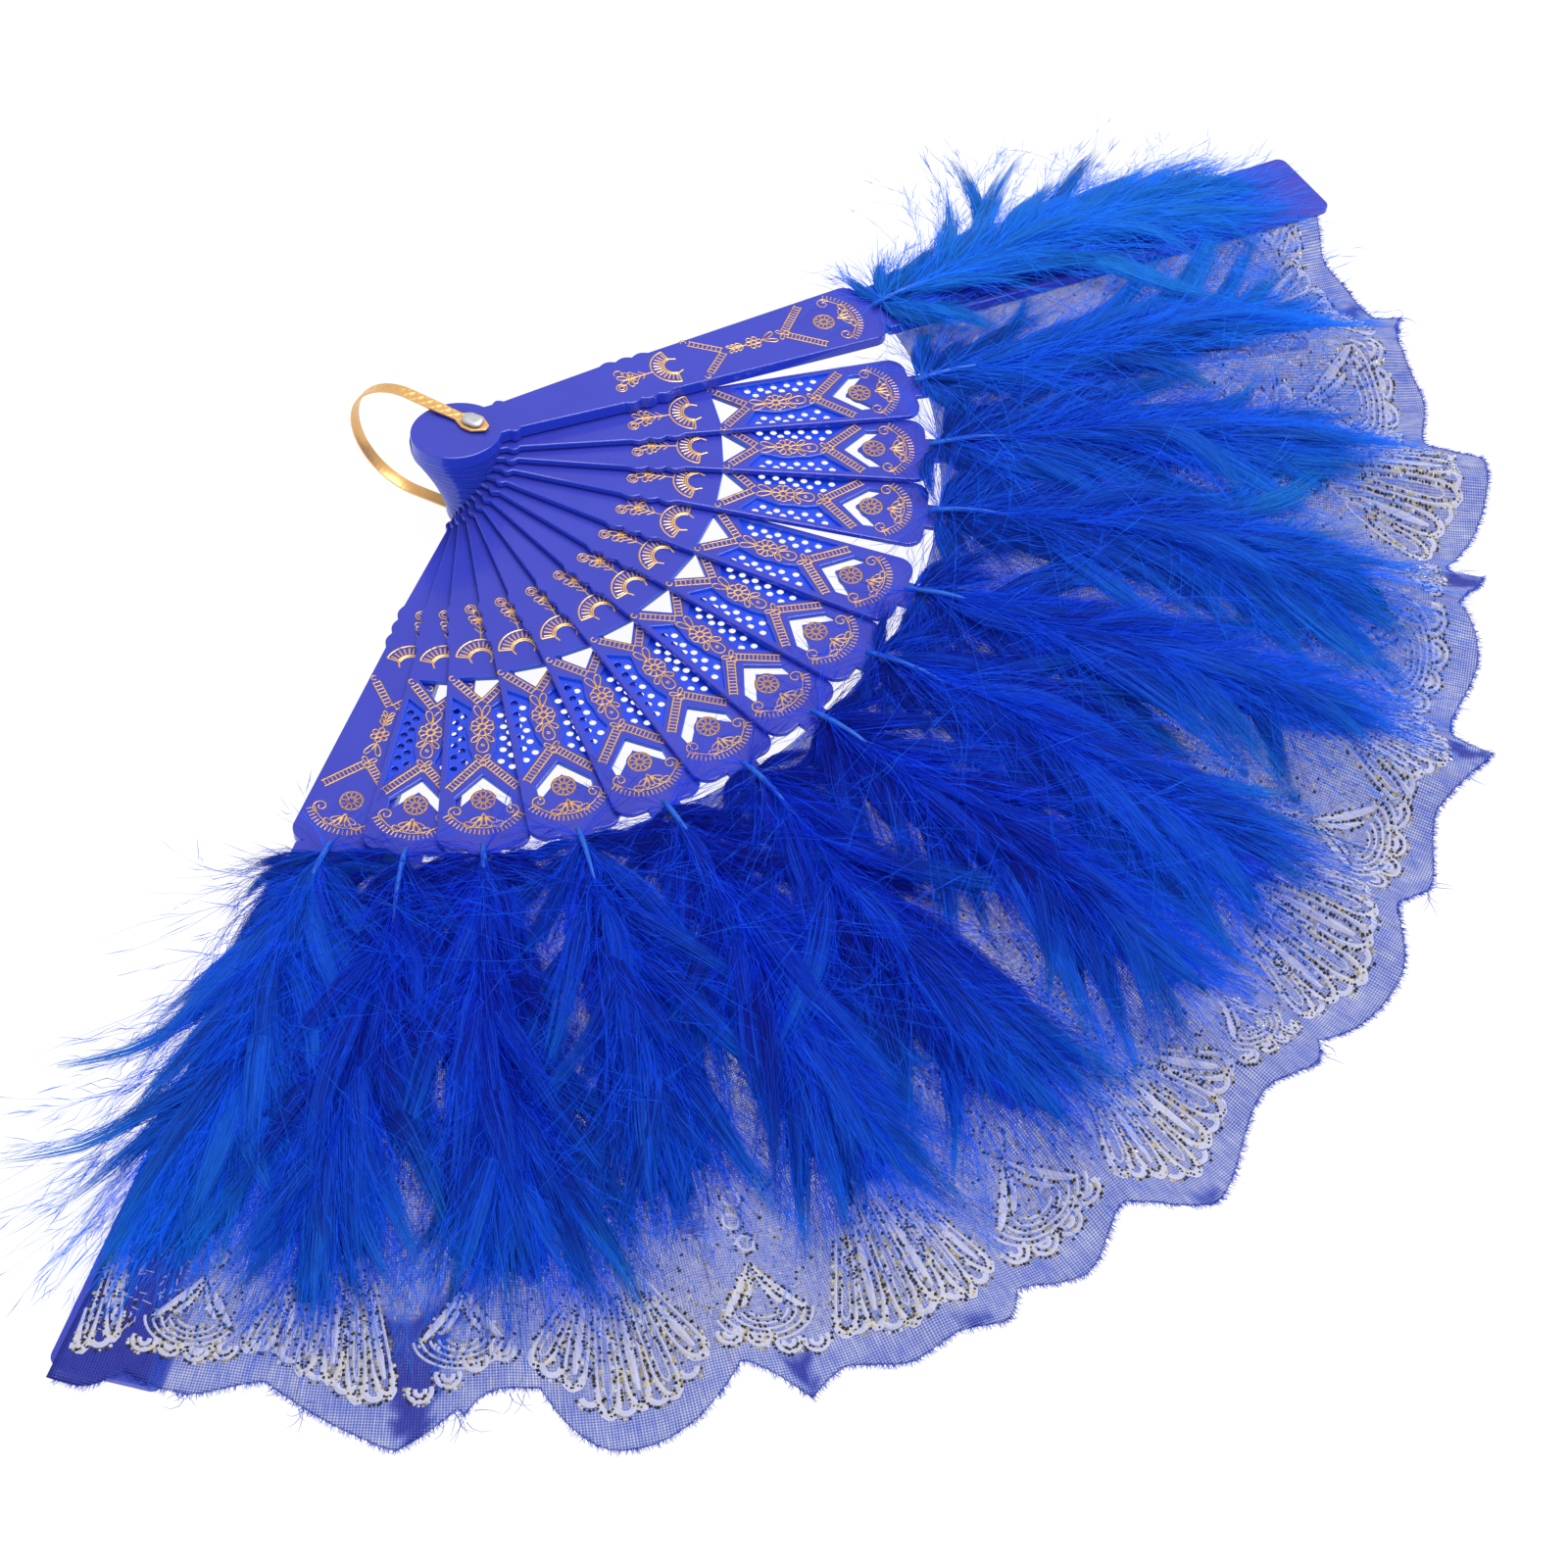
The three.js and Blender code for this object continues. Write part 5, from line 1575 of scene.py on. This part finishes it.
def down_core(index):
    """Down inside a plume, deep blue so that gaps between the locks show painted shade: a low crowned
    slab whose edges fade out. Points, faces and, for each point, how far it is inside the edge, from 0 to 1."""
    share = np.linspace(0, 1, CORE_ROWS)[:, None]
    across = np.linspace(-1, 1, CORE_COLUMNS)[None, :]
    x = PLUME_START + 2 + (PLUME_REACH[index] - 14 - PLUME_START) * share + 0 * across
    half = CORE_HALF_WIDTH * np.sin(np.pi * (0.06 + 0.88 * share)) ** 0.5
    y = half * across
    crown = CORE_HEIGHT * (1 - across ** 2) * np.sin(np.pi * (0.04 + 0.92 * share)) ** 0.5
    top = on_stick_cloth(np.stack([x, y, crown + 0.25], axis=-1), index)
    bottom = on_stick_cloth(np.stack([x, y, 0.1 + 0 * crown], axis=-1), index)
    points, faces = slab(top, bottom)
    inside = (1 - np.abs(across)) * 2.2 * np.minimum(np.minimum(share * 9, (1 - share) * 4), 1)
    return points, faces, np.tile(np.minimum(inside, 1).ravel(), 2)


def down_surface(finish, tone, through_share, **extra):
    """Surface of a strand: azure towards the plume's tip and edges, a painted light. Deep where its tone is
    low and lighter where it is high: painted shade and painted highlight, as the tone holds the height in
    the pile besides a random tone. Light scattered from strand to strand is painted as a faint glow, which
    the low tones lack."""
    blue = finish.mix(finish.noted("tip"), colour(2, 62, 232), colour(32, 142, 244))
    dark = finish.between(tone, 0.62, 0.1) * (0.92 - finish.noted("tip") * 0.6)
    deep = finish.mix(dark, blue, colour(0, 8, 150))
    shade = finish.mix(finish.between(tone, 0.6, 1.0) * 0.6, deep, colour(40, 116, 240))
    painted_glow_share = finish.between(tone + finish.noted("tip") * 0.3, 0.3, 0.9)
    # Painted glow: emission that stands in for light scattered between strands.
    painted_glow = finish.mix(painted_glow_share, colour(0, 0, 30), shade)
    strand = finish.gloss(shade, 0.6, Specular_IOR_Level=0.2, Emission_Color=painted_glow,
                          Emission_Strength=0.28, **extra)
    return finish.mixed(through_share, strand, finish.lit_through(colour(24, 92, 240)))


def down_material():
    """Dyed marabou down: royal blue, each strand with its tone; the azure towards the tips is painted light.
    """
    finish = Finish("down_dye_and_painted_light")
    return finish.surface(down_surface(finish, finish.noted("tone"), 0.35))


def lock_material():
    """Soft lock of down: fine streaks along it in tone, relief and cover, so that its edges and its tip
    dissolve into hairs."""
    finish = Finish("soft_lock")
    tone, along, across = (finish.noted(name) for name in ("tone", "along", "across"))
    spread = {0: across * 10 + tone * 90, 1: along * 1.6, 2: tone * 70}
    streak = finish.noise(finish.node("ShaderNodeCombineXYZ", {}, spread), 1.0, 5.0, 0.75)
    hair = finish.between(streak, 0.36, 0.66)
    cover = finish.between(finish.noted("dense") + (streak - 0.5) * 3.2, 0.38, 0.58)
    lit = down_surface(finish, tone * 0.6 + hair * 0.7 - 0.16, 0.22, Normal=finish.bump(streak, 0.002))
    return finish.surface(finish.mixed(cover, finish.gap(), lit))


def core_material():
    """Down core: deep blue as painted shade in the plume's gaps, streaked, with ragged thin edges."""
    finish = Finish("painted_shade_core_down")
    streak = finish.noise(finish.place(), 420.0, 4.0, 0.65)
    tone = finish.mix(finish.between(streak, 0.35, 0.65), colour(0, 22, 168), colour(0, 56, 214))
    cover = finish.between(finish.noted("inside") + (streak - 0.5) * 1.6, 0.35, 0.75)
    return finish.surface(finish.gloss(tone, 0.9, Alpha=cover, Normal=finish.bump(streak, 0.0012)))


def quill_material():
    """Dyed quill: horn-like, a little glossy, streaked along its length."""
    finish = Finish("dyed_quill")
    streak = finish.noise(finish.place(), 500.0, 3.0)
    tone = finish.mix(streak, colour(6, 70, 190), colour(30, 116, 226))
    return finish.surface(finish.gloss(tone, 0.38, Normal=finish.bump(streak, 0.0001)))


down_dye_and_painted_light = down_material()
soft_lock = lock_material()
painted_shade_core_down = core_material()
dyed_quill = quill_material()


def barbules(barbs, laid, weight, draw):
    """Downy barbules: hairs that leave their barb at a slant, bend back along it and never sink far
    under it. Returns points, faces, and for each hair its barb and its place along that barb."""
    chosen = draw.choice(len(barbs), BARBULES, p=weight)
    spot = draw.uniform(0.02, 1, BARBULES) * (BARB_STEPS - 1)
    low = np.minimum(spot.astype(int), BARB_STEPS - 2)
    part = (spot - low)[:, None]
    roots = laid[chosen, low] * (1 - part) + laid[chosen, low + 1] * part
    way = unit(laid[chosen, low + 1] - laid[chosen, low])
    stray = draw.normal(0, 1, (BARBULES, 3))
    stray = unit(stray - way * (stray * way).sum(axis=1)[:, None])
    lean = np.radians(6 + 44 * draw.random(BARBULES) ** 1.6)[:, None]
    fade = (1 - 0.4 * spot / (BARB_STEPS - 1))[:, None]
    length = BARBULE_LENGTH * draw.uniform(0.35, 1.15, BARBULES)[:, None] * fade
    bends = roots + (way * np.cos(lean) + stray * np.sin(lean)) * length * 0.45
    back = lean * draw.uniform(-0.5, 1.1, BARBULES)[:, None]
    tips = bends + (way * np.cos(back) + stray * np.sin(back)) * length * 0.55
    room = 0.75 * (barbs[chosen, low, 2] * (1 - part[:, 0]) + barbs[chosen, low + 1, 2] * part[:, 0])
    for ends in (bends, tips):
        ends[:, 2] = np.maximum(ends[:, 2], roots[:, 2] - room)
    points, faces = hairs(roots, bends, tips, BARBULE_RADIUS * draw.uniform(0.6, 1.15, BARBULES))
    return points, faces, chosen, low


def painted_azure_share(points, index):
    """How far a local place (x, y) of a plume has gone to azure, a painted light for light through thin
    down: more at its edges and its tip.
    """
    x, y = points[..., 0], np.abs(points[..., 1])
    outward = smooth(y, 8, 28) * 0.5 + smooth(x, 160, 240) * 0.4 + smooth(x, 205, 245) * 0.35
    return np.clip(PLUME_PAINTED_AZURE[index] + outward, 0, 1)


def squash_when_shut(piece, index):
    near, middle, far = (polar(STICK_ANGLES[index], reach, stick_levels(index, reach)[1])
                         for reach in SQUASH_REACHES)
    along = far - near
    upright = unit(np.cross(along, [-along[1], along[0], 0]))
    upright *= -1 if upright[2] < 0 else 1
    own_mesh(piece)


def make_plume(index):
    """One plume: soft locks, barbs as thin tubes, barbules as hairs on them, and the core. What is high
    in the pile is painted lighter than what is deep in it: painted shade, added to each lock's own random
    tone."""
    draw = np.random.default_rng(PLUME_SEED + index)
    settings = lock_settings(index, draw)
    # A lock's tone is painted shade by its rise, lighter the higher it stands, plus a random tone.
    lock_tone_and_shade = 0.62 * settings[3] + draw.normal(0, 0.17, LOCKS + BASE_LOCKS)
    *locks, across, along, owner = lock_bodies(settings, index)
    barbs, lock, weight = barb_paths(index, settings, draw)
    laid = on_stick_cloth(barbs, index)
    strands = tubes(laid, BARB_RADIUS * (1 - 0.8 * np.linspace(0, 1, BARB_STEPS)))
    *down, chosen, low = barbules(barbs, laid, weight, draw)
    *core, inside = down_core(index)
    barb_tone_and_shade = np.where(lock < 0, 0.6, 0.12 + lock_tone_and_shade[lock]) + draw.normal(0, 0.16, len(barbs))
    barb_tone_and_shade = np.clip(barb_tone_and_shade, 0, 1)
    down_tone_and_shade = np.clip(barb_tone_and_shade[chosen] + draw.normal(0, 0.16, BARBULES), 0, 1)

    points, faces, starts = joined(strands, down, locks, core)
    kinds = np.repeat([0, 0, 0, 1, 1, 2], [len(group) for group in faces])
    piece = make_piece(f"plume_{index:02d}", points, faces, [down_dye_and_painted_light, soft_lock, painted_shade_core_down], kinds)
    piece.data.polygons.foreach_set("use_smooth", kinds > 0)
    barb_painted_azure = painted_azure_share(barbs, index)
    lock_painted_azure = painted_azure_share(barb_curves(*settings, PLUME_REACH[index], LOCK_STEPS), index)
    note_parts(piece, "tip", starts, {0: np.repeat(barb_painted_azure.ravel(), 3),
                                      1: np.repeat(barb_painted_azure[chosen, low], 5),
                                      2: np.repeat(lock_painted_azure.ravel(), LOCK_SIDES)})
    note_parts(piece, "tone", starts, {0: np.repeat(barb_tone_and_shade, 3 * BARB_STEPS), 1: np.repeat(down_tone_and_shade, 5),
                                       2: np.clip(lock_tone_and_shade, 0, 1)[owner]})
    note_parts(piece, "across", starts, {2: across})
    note_parts(piece, "along", starts, {2: along})
    note_parts(piece, "dense", starts, {2: (1.12 - 0.95 * across ** 2) * (1.06 - 0.92 * along ** 2)})
    note_parts(piece, "inside", starts, {3: inside})
    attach(piece, stick_body(index))
    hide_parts(f"feather_{index:02d}")
    if index < LAST:
        squash_when_shut(piece, index)


def make_quill(index):
    """Shaft of a feather: bare and thick at the shoulder, thin and hidden inside the down."""
    share = np.linspace(0, 1, QUILL_STEPS)
    x = QUILL_START + (PLUME_REACH[index] - QUILL_PAST_END - QUILL_START) * share
    height = 0.75 + 3.2 * np.sin(np.pi * np.minimum(share * 2.7, 1)) * (1 - share)
    laid = on_stick_cloth(np.column_stack([x, 0.4 * np.sin(3 * share), height]), index)
    radius = QUILL_FOOT_SWELL * (1 - smooth(share, 0, 0.45)) + QUILL_TIP_RADIUS
    turn = np.linspace(0, 2 * np.pi, QUILL_SIDES, endpoint=False)[:, None]
    way = unit(np.gradient(laid, axis=0))
    across = np.cross(way, [0, 0, 1.0])
    upright = np.cross(across, way)
    rim = across[:, None] * np.cos(turn) + upright[:, None] * np.sin(turn)
    points = (laid[:, None] + rim * radius[:, None, None]).reshape(-1, 3)
    faces = [grid_faces(QUILL_STEPS, QUILL_SIDES, closed=True)[:, ::-1],
             end_caps(QUILL_STEPS, QUILL_SIDES)[:, ::-1]]
    piece = make_piece(f"quill_{index:02d}", points, faces, [dyed_quill])
    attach(piece, stick_body(index))


for index in range(LAST + 1):
    make_plume(index)
    make_quill(index)


# Wrist strap: a gold-coated strip embossed outside with a row of diamonds, bent to a U round the
# heads. Its flattened ends are punched and held by the rivet under and over the stack.
RIVET_FOOT_RADIUS, RIVET_FOOT_THICKNESS = 2.9, 1
TILT_GAP = 0.15
STRAP_THICKNESS, STRAP_WIDTH, STRAP_START = 0.7, 3.2, 2.5
STRAP_STEPS, FACE_COLUMNS, BACK_COLUMNS = 420, 13, 5
STRAP_END_HALF_LENGTH, STRAP_END_HALF_WIDTH, STRAP_END_CHAMFER = 4.2, 2.9, 0.12
LOOP_REACH, LOOP_RISE, LOOP_DEGREES = 36, 1.4, -80
EMBOSS_PITCH, EMBOSS_DEPTH = 2.6, 0.22
LOWER_RUN = RIVET_FOOT_THICKNESS + SEAT_GAP + STRAP_THICKNESS / 2
UPPER_RUN = float(stick_levels(LAST, 0.0)[1]) + SEAT_GAP + TILT_GAP + STRAP_THICKNESS / 2


def loop_path():
    """Middle line of the strap in its upright plane: out along the ground, round the bend, and back in
    a straight slant to the top of the rivet."""
    bend = (UPPER_RUN + LOOP_RISE - LOWER_RUN) / 2
    centre = LOOP_REACH - bend
    lower = np.column_stack([np.linspace(STRAP_START, centre, 24), np.full(24, LOWER_RUN)])
    turn = np.linspace(0, np.pi, 40)[1:-1]
    round_part = np.column_stack([centre + bend * np.sin(turn), LOWER_RUN + bend * (1 - np.cos(turn))])
    back = np.linspace(0, 1, 60)[:, None]
    top, end = np.array([centre, UPPER_RUN + LOOP_RISE]), np.array([STRAP_START, UPPER_RUN])
    return np.concatenate([lower, round_part, top * (1 - back) + end * back])


def strap_body():
    """Strip along the path with an oblong section, its outer face pressed into diamonds: the depth is
    the product of two sines that run slantwise across each other."""
    path = loop_path()
    marks = np.linspace(0, run_along(path)[-1], STRAP_STEPS)
    path = places_at(path, marks)
    outward = -left_of(unit(np.gradient(path, axis=0)))
    across = np.concatenate([np.linspace(-1, 1, FACE_COLUMNS), np.linspace(1, -1, BACK_COLUMNS)])
    side = np.repeat([1, -1], [FACE_COLUMNS, BACK_COLUMNS])
    edge = 1 - 0.3 * np.abs(across) ** 6
    slant = np.pi * marks[:, None] / EMBOSS_PITCH
    crossed = np.sin(slant + 1.6 * across) * np.sin(slant - 1.6 * across)
    pressed = EMBOSS_DEPTH * np.abs(crossed) ** 0.5 * (side > 0) * (1 - np.abs(across) ** 4)
    lift = side * edge * STRAP_THICKNESS / 2 - pressed
    half = STRAP_WIDTH / 2 * (1 - 0.12 * smooth(np.minimum(marks, marks[-1] - marks), 8, 3))
    x = path[:, :1] + outward[:, :1] * lift
    z = path[:, 1:] + outward[:, 1:] * lift
    y = np.broadcast_to(across * half[:, None], x.shape)
    points = np.stack([x, y, z], axis=-1).reshape(-1, 3)
    size = STRAP_STEPS, len(across)
    return points, grid_faces(*size, closed=True), end_caps(*size)


def strap_end(run):
    """Flattened end: a six-sided plate with a blunt point, punched for the rivet."""
    long, wide = STRAP_END_HALF_LENGTH, STRAP_END_HALF_WIDTH
    outline = np.array([[-long, 0.9], [-long, -0.9], [-1.2, -wide], [1.6, -wide], [long, -1.5],
                        [long, 1.5], [1.6, wide], [-1.2, wide]])
    points, caps, walls, _ = plate(wound(outline, True), [wound(rivet_hole(), False)], STRAP_END_CHAMFER)
    height = run + (points[:, 2] - 0.5) * STRAP_THICKNESS * 0.8 + points[:, 3]
    return np.column_stack([points[:, :2], height]), caps, walls


def gilt_material():
    """Gold coating on a plastic strip: warm, smooth, darker in the pressed pattern."""
    finish = Finish("strap_gold")
    place = finish.place()
    tone = finish.mix(finish.noise(place, 90.0, 3.0), colour(250, 204, 136), colour(238, 178, 104))
    roughness = finish.noise(place, 400.0) * 0.1 + 0.27
    grain = finish.bump(finish.noise(place, 1600.0), 0.000015)
    return finish.surface(finish.gloss(tone, roughness, Metallic=0.6, Normal=grain))


def make_strap():
    points, faces, _ = joined(strap_body(), strap_end(LOWER_RUN), strap_end(UPPER_RUN))
    piece = make_piece("wrist_strap", turned(points, LOOP_DEGREES), faces, [gilt_material()])
    piece.data.set_sharp_from_angle(angle=np.radians(35))
    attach(piece, "wrist_loop")
    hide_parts("wrist_loop")


make_strap()


# Rivet: a steel tube rivet through all the heads and both ends of the strap, its foot flat on the
# ground side and its head pressed to a soft oblong.
RIVET_HEAD_LONG, RIVET_HEAD_WIDE, RIVET_SIDES = 2.75, 2.0, 32
# The head's rings: share of its outline, and height.
RIVET_DOME = ((0.94, 0), (1, 0.12), (1, 0.4), (0.93, 0.66), (0.78, 0.82), (0.5, 0.86), (0.2, 0.84))


def steel_material():
    """Bright steel with a faint uneven polish."""
    finish = Finish("rivet_steel")
    place = finish.place()
    tone = finish.mix(finish.noise(place, 700.0, 3.0), colour(206, 210, 216), colour(236, 238, 240))
    return finish.surface(finish.gloss(tone, 0.28 + finish.noise(place, 1500.0) * 0.2, Metallic=0.9))


def make_rivet():
    """Rings of growing height: a round foot and shank, then a head whose outline is a rounded oblong,
    |x/a|^3 + |y/b|^3 = 1, drawn in over the top as a low dome."""
    head_start = UPPER_RUN + STRAP_THICKNESS / 2 + SEAT_GAP
    turn = np.linspace(0, 2 * np.pi, RIVET_SIDES, endpoint=False)
    cubes = np.abs(np.cos(turn) / RIVET_HEAD_LONG) ** 3 + np.abs(np.sin(turn) / RIVET_HEAD_WIDE) ** 3
    oblong = cubes ** (-1 / 3)
    rings = [(RIVET_FOOT_RADIUS - 0.2, 0.0), (RIVET_FOOT_RADIUS, 0.2), (RIVET_FOOT_RADIUS, 0.8),
             (RIVET_FOOT_RADIUS - 0.2, RIVET_FOOT_THICKNESS), (RIVET_RADIUS, RIVET_FOOT_THICKNESS),
             (RIVET_RADIUS, head_start)]
    rings += [(oblong * share, head_start + rise) for share, rise in RIVET_DOME]
    radius = np.array([np.broadcast_to(size, RIVET_SIDES) for size, _ in rings])
    height = np.array([level for _, level in rings])[:, None] + 0 * radius
    points = np.stack([radius * np.cos(turn), radius * np.sin(turn), height], axis=-1).reshape(-1, 3)
    size = len(rings), RIVET_SIDES
    piece = make_piece("rivet", turned(points, LOOP_DEGREES),
                       [grid_faces(*size, closed=True), end_caps(*size)], [steel_material()])
    piece.data.set_sharp_from_angle(angle=np.radians(40))
    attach(piece, "back_guard")
    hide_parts("pivot_rivet")


make_rivet()
